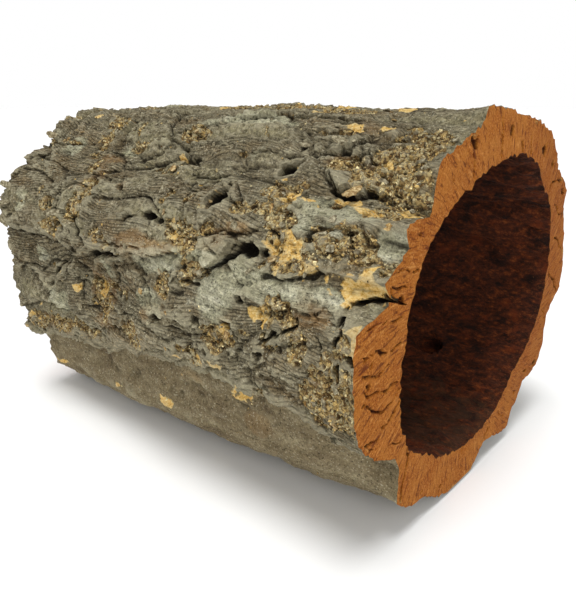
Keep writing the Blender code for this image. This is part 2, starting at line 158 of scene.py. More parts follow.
HIDDEN_PITS = (
    (120, 32, 9, 5, 9), (60, 350, 8, 5, 8), (185, 12, 10, 5, 9), (205, 60, 7, 5, 8),
    (150, 75, 5, 3, 6), (95, 330, 8, 4, 6), (215, 335, 6, 4, 8), (45, 40, 5, 4, 7),
    (30, 10, 4, 3, 7), (85, 15, 3, 2, 6), (160, 345, 4, 3, 7), (100, 52, 4, 2, 6),
    (225, 30, 4, 3, 7), (140, 318, 4, 3, 6), (40, 300, 5, 3, 6), (20, 70, 3, 3, 5),
    (70, 5, 3, 2, 5), (110, 358, 3, 3, 6), (165, 25, 3, 2, 6), (35, 330, 4, 2, 6),
    (190, 300, 4, 3, 6),
)

# Long fissures: pixels along each, half width, depth
SEEN_FISSURES = (
    (((352, 306), (372, 303), (390, 303), (404, 303)), 1.6, 8),
    (((352, 306), (343, 318), (338, 332)), 1.2, 6),
    (((338, 332), (333, 346)), 1.3, 5),
    (((261, 342), (275, 337), (290, 330), (297, 322)), 1.1, 6),
    (((275, 337), (279, 352)), 1, 5),
    (((205, 270), (222, 263), (236, 251)), 1.1, 6),
    (((92, 254), (104, 253), (116, 257)), 1.1, 6),
    (((94, 254), (94, 266)), 0.8, 4),
    (((55, 283), (58, 270), (66, 264)), 1.2, 6),
    (((73, 220), (77, 232), (81, 242)), 1.5, 7),
    (((115, 262), (119, 280)), 0.8, 4),
    (((172, 284), (176, 272), (181, 267)), 0.8, 4),
    (((227, 186), (233, 208)), 0.6, 2.5),
    (((236, 182), (242, 206)), 0.7, 2.5),
    (((221, 190), (225, 202)), 0.5, 2),
    (((312, 317), (322, 306)), 0.9, 5),
    (((262, 279), (290, 281), (322, 273)), 0.8, 3),
    (((329, 178), (335, 192), (345, 198)), 1.4, 6),
    (((361, 148), (365, 164)), 0.7, 3),
    (((370, 150), (373, 162)), 0.6, 2.5),
    (((47, 295), (48, 311)), 0.8, 3),
    (((117, 284), (121, 296)), 0.8, 4),
    (((161, 288), (165, 296)), 0.8, 4),
    (((174, 276), (186, 283), (197, 284)), 0.7, 3),
    (((150, 222), (147, 234)), 0.7, 3),
    (((131, 216), (120, 220)), 0.8, 3),
    (((300, 330), (303, 345)), 0.7, 3),
    (((318, 340), (322, 356)), 0.7, 3),
    (((230, 330), (240, 345)), 0.7, 3),
    (((100, 240), (120, 246), (140, 249)), 0.6, 2),
    (((250, 150), (275, 152), (300, 158)), 0.6, 2),
    (((330, 123), (360, 126)), 0.7, 3),
    (((187, 128), (205, 136)), 0.7, 3),
)
# u and clock at both ends, half width, depth
HIDDEN_FISSURES = (
    (3, 284, 50, 289, 1.6, 5), (40, 350, 90, 346, 1.4, 6), (130, 352, 190, 0, 1.5, 7),
    (30, 18, 80, 14, 1.3, 6), (120, 47, 180, 40, 1.6, 7), (40, 66, 90, 61, 1.2, 5),
    (170, 84, 220, 91, 1.2, 4), (110, 320, 170, 314, 1.4, 6), (80, 25, 105, 33, 1.2, 5),
    (200, 355, 232, 3, 1.3, 6), (150, 300, 210, 294, 1.4, 5), (60, 75, 64, 82, 0.7, 3),
)

# Raised knolls left where the outer layers are thickest: u, clock, half length, half width, rise
KNOLLS = (
    (95, 122, 26, 15, 5), (40, 145, 20, 12, 5), (135, 158, 24, 13, 5), (185, 150, 22, 12, 4),
    (20, 171, 18, 10, 3), (120, 184, 30, 8, 4), (215, 186, 24, 12, 4), (60, 25, 30, 14, 6),
    (160, 22, 34, 15, 6), (110, 78, 30, 12, 3), (200, 310, 26, 14, 5), (60, 330, 24, 12, 5),
    (205, 84, 22, 14, 5), (108, 84, 34, 14, 5),
)

# Broken edges of the outer layers: pixels along each, a pixel on its raised side, the rise and
# how far it reaches back
SEEN_SCARPS = (
    (((188, 278), (208, 270), (222, 262), (235, 241), (226, 234), (203, 239), (191, 252)),
     (205, 255), 5, 16),
    (((84, 250), (92, 251), (122, 254), (150, 255), (172, 254), (191, 252)), (140, 240), 2.4, 16),
    (((72, 222), (84, 205), (96, 189), (107, 182), (122, 187)), (120, 200), 2.6, 16),
    (((140, 152), (153, 142), (170, 141), (182, 148), (189, 157), (186, 166), (195, 170),
     (212, 172)), (168, 155), 3.2, 14),
    (((214, 172), (222, 178), (226, 190), (222, 200), (207, 206)), (240, 190), 1.2, 12),
    (((325, 160), (330, 185), (345, 195), (365, 196), (385, 197), (394, 190)), (358, 178), 5, 15),
    (((252, 262), (270, 277), (290, 279), (307, 276), (324, 270)), (290, 262), 2.4, 14),
    (((332, 325), (338, 321), (343, 313), (350, 306), (365, 304), (384, 303), (407, 303)),
     (370, 290), 3, 12),
    (((384, 130), (392, 139), (410, 141), (422, 131)), (405, 128), 2.6, 10),
    (((334, 158), (345, 151), (357, 145), (374, 142)), (350, 138), 2.8, 10),
    (((46, 204), (58, 212), (68, 218), (74, 226), (82, 240)), (58, 222), 3, 9),
    (((53, 288), (56, 274), (62, 266), (75, 254), (90, 240)), (72, 276), 2.4, 12),
    (((93, 270), (94, 254), (104, 254), (120, 257)), (104, 264), 2, 10),
    (((114, 254), (117, 268), (119, 284)), (108, 268), 1.6, 8),
    (((168, 288), (174, 274), (183, 268)), (186, 282), 1.8, 8),
    (((266, 190), (270, 203), (285, 208), (300, 204), (313, 197)), (290, 198), 1.2, 8),
    (((146, 322), (160, 318), (172, 317), (185, 321), (200, 327)), (175, 310), 4, 12),
    (((226, 295), (245, 288), (264, 280)), (245, 300), 1.8, 9),
    (((256, 344), (270, 338), (287, 330), (299, 320)), (280, 345), 2, 10),
    (((372, 212), (362, 222), (368, 240), (380, 252)), (385, 230), 1.5, 10),
    (((238, 112), (250, 120), (300, 118), (350, 121), (380, 122)), (300, 108), 2.2, 10),
    (((100, 330), (115, 338), (128, 348), (140, 350), (150, 344)), (125, 330), 2, 8),
    (((175, 350), (190, 360), (215, 366), (225, 372)), (205, 352), 2, 8),
)
# The raised side lies on the left of each line of u and clock
HIDDEN_SCARPS = (
    (((250, 128), (236, 131), (226, 138), (218, 146)), 3, 12),
    (((245, 180), (230, 176), (214, 178), (204, 184)), 3, 14),
    (((20, 35), (60, 30), (95, 34), (120, 28)), 4, 16),
    (((230, 20), (190, 14), (150, 17), (135, 22)), 4, 16),
    (((20, 350), (70, 355), (110, 350), (140, 356)), 4, 16),
    (((160, 60), (130, 66), (95, 62), (70, 68)), 3.4, 14),
    (((240, 340), (200, 346), (170, 341), (150, 346)), 3.6, 14),
    (((30, 300), (80, 304), (130, 298), (170, 303)), 3.4, 16),
    (((235, 70), (205, 74), (180, 70), (165, 76)), 3, 14),
    (((40, 8), (52, 14), (50, 22), (40, 26)), 3.4, 12),
    (((200, 330), (212, 326), (216, 318), (206, 312)), 3, 12),
    (((90, 42), (104, 46), (106, 54), (96, 58)), 3, 12),
)

# Flat plates where the grain shows best: u, clock, half length, half width
CALM = (
    (88, 128, 30, 13), (124, 158, 28, 9), (155, 158, 18, 8), (28, 143, 16, 9), (74, 166, 24, 8),
    (4, 147, 10, 9), (200, 128, 12, 10), (110, 100, 30, 8), (47, 163, 20, 6), (190, 182, 14, 8),
    (120, 0, 30, 12), (60, 30, 26, 12), (190, 45, 26, 12), (160, 320, 26, 12), (60, 320, 22, 12),
)

# Where the fine lines swing round a knot, and how far they swing
KNOT = ((26, 149, 24, 17),)
KNOT_SWING = 16.0

# Where the bark has crumbled to bare cork: pixel or place, half length, half width
SEEN_CRUMBLED = (
    (130, 108, 20, 5), (118, 122, 7, 7), (108, 138, 7, 7), (100, 152, 6, 6), (95, 165, 5, 6),
    (88, 185, 8, 6), (80, 195, 8, 6), (70, 208, 8, 6), (48, 205, 8, 5), (55, 225, 9, 7),
    (196, 132, 12, 6), (178, 225, 7, 6), (190, 238, 9, 8), (205, 228, 5, 4), (285, 190, 10, 6),
    (275, 205, 8, 5), (278, 225, 9, 8), (285, 245, 10, 9), (278, 262, 10, 7), (300, 264, 10, 5),
    (320, 232, 6, 4), (345, 240, 12, 8), (362, 246, 8, 7), (330, 250, 6, 5), (345, 165, 8, 6),
    (370, 178, 10, 8), (395, 165, 14, 12), (400, 190, 14, 12), (412, 205, 10, 8), (385, 214, 8, 5),
    (415, 150, 12, 8), (430, 140, 12, 8), (300, 106, 34, 9), (350, 110, 22, 8), (250, 106, 20, 9),
    (190, 270, 8, 5), (163, 285, 7, 6), (104, 300, 12, 12), (130, 335, 12, 8), (35, 320, 12, 6),
    (62, 325, 12, 5), (88, 330, 8, 4), (190, 354, 12, 4), (213, 340, 8, 6), (295, 352, 6, 8),
    (280, 318, 12, 7), (330, 385, 14, 12), (345, 412, 10, 12), (318, 410, 12, 12), (340, 350, 6, 6),
    (246, 395, 9, 5), (175, 232, 4, 4), (150, 110, 10, 4),
)
HIDDEN_CRUMBLED = (
    (120, 20, 20, 12), (40, 50, 18, 14), (200, 350, 20, 14), (150, 70, 18, 8), (60, 300, 18, 12),
    (170, 320, 18, 10), (10, 20, 12, 16), (215, 40, 16, 10), (90, 345, 14, 8), (60, 10, 16, 9),
    (10, 60, 10, 12), (230, 310, 14, 12), (10, 330, 10, 14), (165, 30, 10, 8), (100, 60, 16, 6),
)

# Bright patches of fresh cork: pixel or place, half length, half width
SEEN_FRESH = (
    (362, 290, 12, 7), (350, 293, 6, 4), (357, 337, 6, 5), (349, 203, 6, 3), (366, 211, 7, 3),
    (280, 110, 8, 4), (345, 106, 8, 4), (320, 113, 5, 4), (225, 108, 5, 4), (405, 110, 8, 5),
    (292, 198, 8, 3.5), (222, 332, 6, 4), (258, 316, 6, 5), (180, 355, 7, 2), (200, 358, 5, 2),
    (213, 362, 6, 2), (241, 397, 9, 4), (31, 315, 4, 3), (40, 323, 4, 3), (306, 269, 5, 3),
    (358, 128, 5, 3), (391, 128, 4, 2.5), (387, 165, 4, 3), (410, 215, 5, 3), (184, 161, 4, 3),
    (59, 212, 7, 2), (176, 235, 3, 3), (99, 115, 3, 3), (77, 285, 4, 3), (63, 361, 8, 2),
    (120, 383, 5, 2), (165, 402, 5, 3), (222, 436, 6, 2), (104, 290, 4, 5), (284, 248, 9, 8),
    (370, 345, 3, 8),
)
HIDDEN_FRESH = (
    (100, 30, 8, 4), (180, 340, 8, 4), (8, 28, 8, 5), (6, 350, 6, 6), (60, 48, 6, 4),
    (140, 10, 7, 3), (30, 315, 8, 4), (210, 20, 6, 4), (5, 62, 5, 6), (120, 300, 7, 3),
)

# Pale lichen crusts: pixel or place, half length, half width
SEEN_LICHEN = (
    (320, 220, 22, 11), (210, 298, 18, 10), (200, 255, 14, 7), (265, 120, 30, 7), (235, 118, 16, 7),
    (78, 146, 10, 8), (228, 116, 8, 3), (240, 122, 6, 3), (300, 124, 8, 3), (108, 267, 6, 6),
    (150, 262, 18, 6), (190, 272, 8, 5), (215, 285, 22, 7), (265, 292, 26, 7), (45, 255, 6, 5),
    (380, 312, 6, 4), (340, 218, 14, 7), (395, 250, 9, 9), (130, 150, 8, 5), (300, 300, 16, 6),
    (250, 118, 8, 4), (20, 200, 8, 6), (60, 300, 12, 8), (150, 300, 14, 8), (320, 300, 14, 6),
    (250, 270, 12, 8),
)
HIDDEN_LICHEN = (
    (120, 60, 24, 12), (60, 20, 18, 10), (190, 30, 20, 12), (220, 85, 14, 8), (30, 85, 16, 8),
    (150, 350, 18, 10), (80, 320, 18, 9), (220, 10, 12, 10),
)

# Red brown and ochre stains: pixel or place, half length, half width
SEEN_STAINED = (
    (345, 165, 8, 6), (371, 178, 9, 7), (120, 186, 6, 4), (224, 322, 6, 4), (135, 243, 28, 4),
    (195, 243, 14, 4), (104, 300, 14, 12), (60, 325, 30, 4), (255, 425, 8, 7), (300, 315, 16, 6),
    (110, 160, 14, 6), (285, 195, 8, 4), (330, 400, 18, 12), (215, 235, 10, 5), (240, 228, 10, 4),
)
HIDDEN_STAINED = (
    (40, 45, 20, 10), (150, 330, 24, 10), (90, 0, 20, 10), (200, 60, 18, 10), (60, 285, 30, 8),
)

# Cracks in the sawn face: clock and share of the wall, from bore to bark, at each point, and
# then half width and depth
FACE_CRACKS = (
    (((211, 0.0), (214, 0.30), (218, 0.62), (224, 1.0)), 0.54, 5.0),
    (((158, 1.05), (158, 0.75), (157, 0.42)), 0.7, 4.0),
    (((151, 0.92), (150, 0.62), (148, 0.10)), 0.3, 1.6),
    (((157, 0.85), (154, 0.56), (153, 0.18)), 0.3, 1.4),
    (((165, 0.90), (163, 0.58), (162, 0.2)), 0.36, 1.8),
    (((171, 0.85), (171, 0.50), (170, 0.10)), 0.36, 1.8),
    (((175, 0.90), (176, 0.55), (175, 0.30)), 0.3, 1.5),
    (((179, 0.80), (181, 0.50), (182, 0.02)), 0.36, 1.8),
    (((181, 0.82), (185, 0.60), (188, 0.40)), 0.42, 2.0),
    (((188, 0.40), (187, 0.20), (184, 0.02)), 0.3, 1.6),
    (((192, 0.50), (191, 0.20), (189, 0.0)), 0.3, 1.6),
    (((191, 1.02), (193, 0.87), (194, 0.62)), 0.42, 2.2),
    (((193, 1.05), (196, 0.84)), 0.36, 2.0),
    (((200, 0.55), (203, 0.30), (204, 0.05)), 0.28, 1.2),
    (((108, 1.03), (107, 0.88), (106, 0.74)), 1.5, 6.0),
    (((108, 0.60), (108, 0.29), (108, 0.0)), 0.3, 1.6),
    (((91, 0.84), (89, 0.44), (88, 0.02)), 0.54, 1.6),
    (((68, 0.54), (66, 0.30), (64, 0.05)), 0.3, 1.8),
    (((74, 0.30), (72, 0.0)), 0.72, 3.5),
    (((34, 0.95), (38, 0.60), (40, 0.20)), 0.36, 2.0),
    (((22, 0.90), (25, 0.55), (30, 0.25)), 0.36, 2.0),
    (((8, 0.95), (14, 0.60), (17, 0.30)), 0.36, 2.0),
    (((355, 0.85), (0, 0.50), (4, 0.15)), 0.42, 2.2),
    (((344, 0.95), (348, 0.60), (350, 0.20)), 0.3, 1.6),
    (((284, 1.05), (286, 0.70), (290, 0.45)), 0.42, 2.4),
    (((262, 0.30), (263, 0.0)), 0.28, 1.4),
    (((300, 0.20), (302, 0.55)), 0.28, 1.2),
)

# Small holes in the sawn face: clock, share of the wall, half width, depth
FACE_HOLES = (
    (83, 0.60, 2.2, 3.0), (55, 0.47, 2.6, 4.5), (45, 0.68, 1.6, 2.5), (35, 0.90, 1.8, 3.0),
    (30, 0.78, 1.6, 2.5), (314, 0.66, 1.1, 2.0), (330, 0.85, 1.6, 2.6), (325, 0.64, 1.2, 2.2),
    (235, 0.80, 1.0, 1.6), (249, 0.74, 1.2, 1.6), (173, 0.68, 1.2, 1.8), (178, 0.70, 1.4, 2.0),
    (192, 0.46, 0.9, 1.6), (140, 0.55, 0.8, 1.2), (120, 0.45, 0.8, 1.2), (67, 0.97, 1.5, 2.0),
)

# Hollows in the bore wall: u, clock, half length, half width, depth
BORE_HOLES = (
    (52, 322, 7, 6, 9), (60, 255, 14, 7, 4), (150, 30, 12, 8, 6), (90, 340, 10, 8, 4),
    (120, 300, 9, 8, 6), (40, 10, 10, 6, 3), (130, 140, 12, 8, 5), (70, 90, 9, 7, 4),
)

# Slopes that the noise picks from: the middles of a cube's twelve edges
EDGE_DIRECTIONS = np.array([
    (x, y, z)
    for x in (-1, 0, 1) for y in (-1, 0, 1) for z in (-1, 0, 1)
    if abs(x) + abs(y) + abs(z) == 2
], dtype=float)


def corner_number(x, y, z, seed):
    """A repeatable whole number for each corner of the noise lattice."""
    mixed = (x * 374761393 + y * 668265263 + z * 1013904223 + seed * 362437) & 0xFFFFFFFF
    mixed = ((mixed ^ (mixed >> 13)) * 1274126177) & 0xFFFFFFFF
    return (mixed ^ (mixed >> 16)) & 0xFFFF


def noise(x, y, z, seed):
    """Smooth random relief, about -1 to 1, at each point."""
    corner = [np.floor(value).astype(np.int64) for value in (x, y, z)]
    part = [value - low for value, low in zip((x, y, z), corner)]
    ease = [p * p * p * (p * (6 * p - 15) + 10) for p in part]
    total = np.zeros_like(part[0])
    for dx in (0, 1):
        for dy in (0, 1):
            for dz in (0, 1):
                number = corner_number(corner[0] + dx, corner[1] + dy, corner[2] + dz, seed)
                slope = EDGE_DIRECTIONS[number % len(EDGE_DIRECTIONS)]
                climb = (slope[..., 0] * (part[0] - dx) + slope[..., 1] * (part[1] - dy)
                         + slope[..., 2] * (part[2] - dz))
                weight = ((ease[0] if dx else 1 - ease[0]) * (ease[1] if dy else 1 - ease[1])
                          * (ease[2] if dz else 1 - ease[2]))
                total += climb * weight
    return total * 1.5


def nearest_cells(x, y, z, seed):
    """Distances to the nearest and second nearest cell seed, the nearest one's number and offset."""
    corner = [np.floor(value).astype(np.int64) for value in (x, y, z)]
    first = np.full(x.shape, 9.0)
    second = np.full(x.shape, 9.0)
    number = np.zeros(x.shape, dtype=np.int64)
    offset = np.zeros(x.shape)
    for dx in (-1, 0, 1):
        for dy in (-1, 0, 1):
            for dz in (-1, 0, 1):
                place = (corner[0] + dx, corner[1] + dy, corner[2] + dz)
                jitter = [corner_number(*place, seed + n) / 65535.0 for n in (1, 2, 3)]
                across = [p + j - value for p, j, value in zip(place, jitter, (x, y, z))]
                far = np.sqrt(across[0] ** 2 + across[1] ** 2 + across[2] ** 2)
                closer = far < first
                second = np.where(closer, first, np.minimum(second, far))
                number = np.where(closer, corner_number(*place, seed), number)
                offset = np.where(closer, across[0], offset)
                first = np.where(closer, far, first)
    return first, second, number, offset


def read_outline(outline, clock):
    """Radius of a given outline at each clock angle."""
    angles = np.radians([point[0] for point in outline])
    radii = [point[1] for point in outline]
    return np.interp(clock, angles, radii, period=TURN)


def soften_outline(outline, spread_degrees):
    """The same outline with everything narrower than the spread smoothed away."""
    clock = np.radians(np.arange(360))
    radii = read_outline(outline, clock)
    reach = np.arange(-3 * spread_degrees, 3 * spread_degrees + 1)
    weight = np.exp(-0.5 * (reach / spread_degrees) ** 2)
    weight /= weight.sum()
    return [
        (degree, float(np.sum(weight * radii[(degree + reach) % 360])))
        for degree in range(0, 360, 3)
    ]


def smooth_step(value, low, high):
    """0 below low, 1 above high, with an eased rise between them."""
    t = np.clip((value - low) / (high - low), 0.0, 1.0)
    return t * t * (3 - 2 * t)


def clock_gap(clock, degrees):
    """Signed angle from the given clock position, in radians."""
    return (clock - np.radians(degrees) + math.pi) % TURN - math.pi


def on_sleeve(u, clock):
    """Points on the round mean sleeve, so that patterns close without a seam."""
    return u, MEAN_RADIUS * np.cos(clock), MEAN_RADIUS * np.sin(clock)


def patches(places, u, clock, low, high):
    """How far each point lies inside some oval patches: 0 outside, and 1 or a patch's own height."""
    inside = np.zeros_like(u)
    for centre, degrees, half_length, half_width, *height in places:
        along = (u - centre) / half_length
        across = clock_gap(clock, degrees) * MEAN_RADIUS / half_width
        share = 1 - smooth_step(np.hypot(along, across), low, high)
        inside = np.maximum(inside, height[0] * share if height else share)
    return inside


def plate_relief(u, clock):
    """Long plates of bark, each at its own height and tilt, with furrows between them."""
    x, y, z = on_sleeve(u, clock)
    bend = 6.0 * noise(x / 38, y / 22, z / 22, 11)
    curl = 9.0 * noise(x / 45, y / 30, z / 30, 12)
    ragged = 1.6 * noise(x / 7, y / 4, z / 4, 13)
    first, second, number, offset = nearest_cells(
        (x + 2 * curl + ragged) / 62, (y + bend + ragged) / 27, (z + bend) / 27, 21)
    furrow = 1.0 - smooth_step(second - first, 0.0, 0.22)
    crack = 1.0 - smooth_step(second - first, 0.01, 0.05)
    height = (number % 97) / 97.0 - 0.5
    tilt = (number // 97 % 89) / 89.0 - 0.5
    return 1.8 * height + 3.6 * tilt * offset - 0.9 * furrow - 1.4 * crack


def scale_relief(u, clock):
    """Smaller scales on the plates, each a step above or below its neighbours."""
    x, y, z = on_sleeve(u, clock)
    warp = 3.0 * noise(x / 16, y / 9, z / 9, 14)
    ragged = 1.2 * noise(x / 4.0, y / 2.6, z / 2.6, 15)
    first, second, number, offset = nearest_cells(
        (x + 1.5 * warp + ragged) / 25, (y + warp + ragged) / 12, (z + warp) / 12, 22)
    split = 1.0 - smooth_step(second - first, 0.01, 0.09)
    height = (number % 83) / 83.0 - 0.5
    tilt = (number // 83 % 71) / 71.0 - 0.5
    open_split = split * smooth_step(noise(x / 22, y / 14, z / 14, 25), -0.1, 0.35)
    return 0.9 * height + 1.6 * tilt * offset - 1.5 * open_split


def ridge_relief(u, clock):
    """Broad swellings that run with the grain, and finer lumps on them."""
    x, y, z = on_sleeve(u, clock)
    broad = 2.4 * noise(x / 130, y / 40, z / 40, 31)
    middle = 1.1 * noise(x / 36, y / 16, z / 16, 32)
    fine = 0.5 * noise(x / 18, y / 11, z / 11, 33)
    return broad + middle + fine


def scarp_relief(u, clock):
    """Rise behind each broken edge, and the dip in front of it."""
    x, y, z = on_sleeve(u, clock)
    shift = 1.1 * noise(x / 6, y / 5, z / 5, 26) + 0.5 * noise(x / 2.4, y / 2.4, z / 2.4, 27)
    slide = 1.1 * noise(x / 6, y / 5, z / 5, 28) + 0.5 * noise(x / 2.4, y / 2.4, z / 2.4, 29)
    total = np.zeros_like(u)
    for points, rise, reach in SCARPS:
        middle = points[len(points) // 2]
        around = clock_gap(clock, middle[1]) * MEAN_RADIUS + slide
        near = (np.abs(u - middle[0]) < 75) & (np.abs(around) < 75)
        pu, ps = (u + shift)[near], around[near]
        best = np.full(pu.shape, 1e9)
        lean = np.zeros(pu.shape)
        place = np.zeros(pu.shape)
        pairs = list(zip(points, points[1:]))
        for count, ((au, ac), (bu, bc)) in enumerate(pairs):
            start, end = (math.radians(c - middle[1]) * MEAN_RADIUS for c in (ac, bc))
            du, ds = bu - au, end - start
            length = math.hypot(du, ds)
            along = np.clip(((pu - au) * du + (ps - start) * ds) / length ** 2, 0.0, 1.0)
            away = np.hypot(pu - au - along * du, ps - start - along * ds)
            side = (du * (ps - start) - ds * (pu - au)) / length
            closer = (away < best - 1e-6) | ((away < best + 1e-6) & (np.abs(side) > np.abs(lean)))
            best = np.where(closer, away, best)
            lean = np.where(closer, side, lean)
            place = np.where(closer, (count + along) / len(pairs), place)
        taper = smooth_step(place, 0.0, 0.22) * (1 - smooth_step(place, 0.78, 1.0))
        raised = rise * (1 - smooth_step(best, 0.0, reach))
        dipped = -0.35 * rise * (1 - smooth_step(best, 0.0, 3.5))
        total[near] += taper * np.where(lean > 0, raised, dipped)
    return total


def hollows(u, clock):
    """Depth of the pits and fissures at each point."""
    x, y, z = on_sleeve(u, clock)
    wander_u = u + 1.4 * noise(x / 9, y / 6, z / 6, 16) + 0.9 * noise(x / 3.5, y / 3, z / 3, 17)
    wander = (1.3 * noise(x / 10, y / 6, z / 6, 18) + 0.8 * noise(x / 3.5, y / 3, z / 3, 19))
    turned = clock + wander / MEAN_RADIUS
    depth = patches(PITS, wander_u, turned, 0.65, 1.08)
    width = 1.0 + 0.6 * noise(x / 9, y / 6, z / 6, 20)
    for start, start_degrees, end, end_degrees, half_width, deep in FISSURES:
        share = np.clip((wander_u - start) / (end - start), 0.0, 1.0)
        degrees = start_degrees + share * ((end_degrees - start_degrees + 180) % 360 - 180)
        across = clock_gap(turned, degrees)
        low, high = min(start, end), max(start, end)
        beyond = np.maximum(np.maximum(low - wander_u, wander_u - high), 0.0)
        away = np.hypot(across * MEAN_RADIUS, beyond) / (half_width * width)
        depth = np.maximum(depth, deep * (1 - smooth_step(away, 0.35, 1.05)))
    return depth


def knolls(u, clock):
    """Rise of the knolls at each point."""
    return 0.6 * patches(KNOLLS, u, clock, 0.5, 1.2)


def ledge_drop(u, clock):
    """Depth of the groove under the slab's lip, and the share of each point that is band."""
    lip = np.radians(np.interp(u, *zip(*LEDGE_LINE)))
    x, y, z = on_sleeve(u, clock)
    ragged = 2.2 * noise(x / 14, y / 9, z / 9, 41) + 0.8 * noise(x / 4, y / 4, z / 4, 42)
    past = clock - lip - np.radians(ragged)
    band = smooth_step(past, -LEDGE_SOFTNESS, LEDGE_SOFTNESS)
    band = band * (1 - smooth_step(clock, BAND_END - BAND_RECOVERY, BAND_END))
    deep = np.interp(u, *zip(*LEDGE_DROP))
    return deep * band * (1 - smooth_step(past, GROOVE_START, GROOVE_END)), band


BARK_BODY_OUTLINE = soften_outline(BARK_OUTLINE, 9)
FAR_BODY_OUTLINE = soften_outline(FAR_OUTLINE, 4)
BORE_BODY_OUTLINE = soften_outline(BORE_OUTLINE, 7)


def bore_radius(u, clock):
    """Radius of the bore, ribbed along the grain by the wood that it grew on."""
    x, y, z = on_sleeve(u, clock)
    end_share = np.exp(-u / BORE_FADE)
    outline = (end_share * read_outline(BORE_OUTLINE, clock)
               + (1 - end_share) * read_outline(BORE_BODY_OUTLINE, clock))
    ribs = 1.6 * noise(x / 70, y / 12, z / 12, 51) + 1.0 * noise(x / 18, y / 8, z / 8, 52)
    return outline + ribs * smooth_step(u, 0.0, 12.0)


def body_outline(u, clock):
    """Radius of the bark before its relief, from the near body to the far end."""
    share = np.sqrt(np.clip(u / LENGTH, 0.0, 1.0))
    near = read_outline(BARK_BODY_OUTLINE, clock)
    far = read_outline(FAR_BODY_OUTLINE, clock)
    return near + share * (far - near)


def broken_rim(clock):
    """How far the bark is broken back from the far end at each clock angle."""
    x, y, z = on_sleeve(np.zeros_like(clock), clock)
    chips = noise(x, y / 21, z / 21, 61) + 0.6 * noise(x, y / 8, z / 8, 62)
    fine = 0.5 * noise(x, y / 3, z / 3, 63)
    return 4.5 + 5.0 * np.clip(chips + fine, -0.8, 1.2)


def camera_axes():
    """Directions to the right, up and back of the photograph's camera."""
    back = np.array((
        math.sin(CAMERA_AZIMUTH) * math.cos(CAMERA_ELEVATION),
        -math.cos(CAMERA_AZIMUTH) * math.cos(CAMERA_ELEVATION), math.sin(CAMERA_ELEVATION)))
    right = np.array((math.cos(CAMERA_AZIMUTH), math.sin(CAMERA_AZIMUTH), 0.0))
    return right, np.cross(back, right), back


def on_bark(pixels):
    """u and clock angle, in degrees, where the line of sight through each pixel meets the bark."""
    right, up, back = camera_axes()
    focal = CAMERA_LENS / CAMERA_SENSOR * PHOTO_HEIGHT
    x, y = np.array(pixels, dtype=float).T
    ahead = (x - PHOTO_WIDTH / 2)[:, None] * right + (PHOTO_HEIGHT / 2 - y)[:, None] * up
    ahead = ahead / focal - back
    ahead /= np.linalg.norm(ahead, axis=1)[:, None]
    steps = np.arange(SIGHT_START, SIGHT_END, SIGHT_STEP)
    spots = np.array(CAMERA_FROM_FACE) / MM + steps[None, :, None] * ahead[:, None, :]
    u = -spots[..., 0]
    clock = np.arctan2(spots[..., 2], spots[..., 1]) % TURN
    drop, band = ledge_drop(u, clock)
    relief = plate_relief(u, clock) + 0.75 * knolls(u, clock) + 0.8 * ridge_relief(u, clock)
    end_share = np.exp(-np.maximum(u, 0.0) / BARK_FADE)
    skin = (end_share * read_outline(BARK_OUTLINE, clock)
            + (1 - end_share) * (body_outline(u, clock) - drop + relief * (1 - 0.8 * band)))
    gap = np.where((u > 0) & (u < LENGTH), np.hypot(spots[..., 1], spots[..., 2]) - skin, np.inf)
    meets = (gap < 0).any(axis=1)
    first = np.where(meets, np.argmax(gap < 0, axis=1), np.argmin(gap, axis=1))
    rows = np.arange(len(x))
    return list(zip(u[rows, first].tolist(), np.degrees(clock[rows, first]).tolist()))


def placed(seen, hidden):
    """Features given by pixel, moved onto the bark, and then those given by place."""
    spots = on_bark([item[:2] for item in seen])
    return [(*spot, *item[2:]) for spot, item in zip(spots, seen)] + list(hidden)


def placed_fissures():
    """Straight pieces of every fissure: u and clock at both ends, half width, depth."""
    pieces = []
    for pixels, half_width, deep in SEEN_FISSURES:
        spots = on_bark(pixels)
        for (start, start_degrees), (end, end_degrees) in zip(spots, spots[1:]):
            if abs(end - start) < 0.2:
                end = start + 0.2
            pieces.append((start, start_degrees, end, end_degrees, half_width, deep))
    return pieces + list(HIDDEN_FISSURES)


def placed_scarps():
    """Every broken edge as u and clock angles, turned so that its raised side is on its left."""
    edges = []
    for pixels, raised, rise, reach in SEEN_SCARPS:
        *line, (side_u, side_degrees) = on_bark((*pixels, raised))
        nearest, lean = math.inf, 0.0
        for (au, ac), (bu, bc) in zip(line, line[1:]):
            du, ds = bu - au, math.radians(bc - ac) * MEAN_RADIUS
            pu, ps = side_u - au, math.radians(side_degrees - ac) * MEAN_RADIUS
            along = min(max((pu * du + ps * ds) / max(du * du + ds * ds, 1e-6), 0.0), 1.0)
            away = math.hypot(pu - along * du, ps - along * ds)
            if away < nearest:
                nearest, lean = away, du * ps - ds * pu
        edges.append((tuple(line if lean > 0 else line[::-1]), rise, reach))
    return edges + list(HIDDEN_SCARPS)


PITS = placed(SEEN_PITS, HIDDEN_PITS)
FISSURES = placed_fissures()
SCARPS = placed_scarps()
CRUMBLED = placed(SEEN_CRUMBLED, HIDDEN_CRUMBLED)
FRESH = placed(SEEN_FRESH, HIDDEN_FRESH)
LICHEN = placed(SEEN_LICHEN, HIDDEN_LICHEN)
STAINED = placed(SEEN_STAINED, HIDDEN_STAINED)


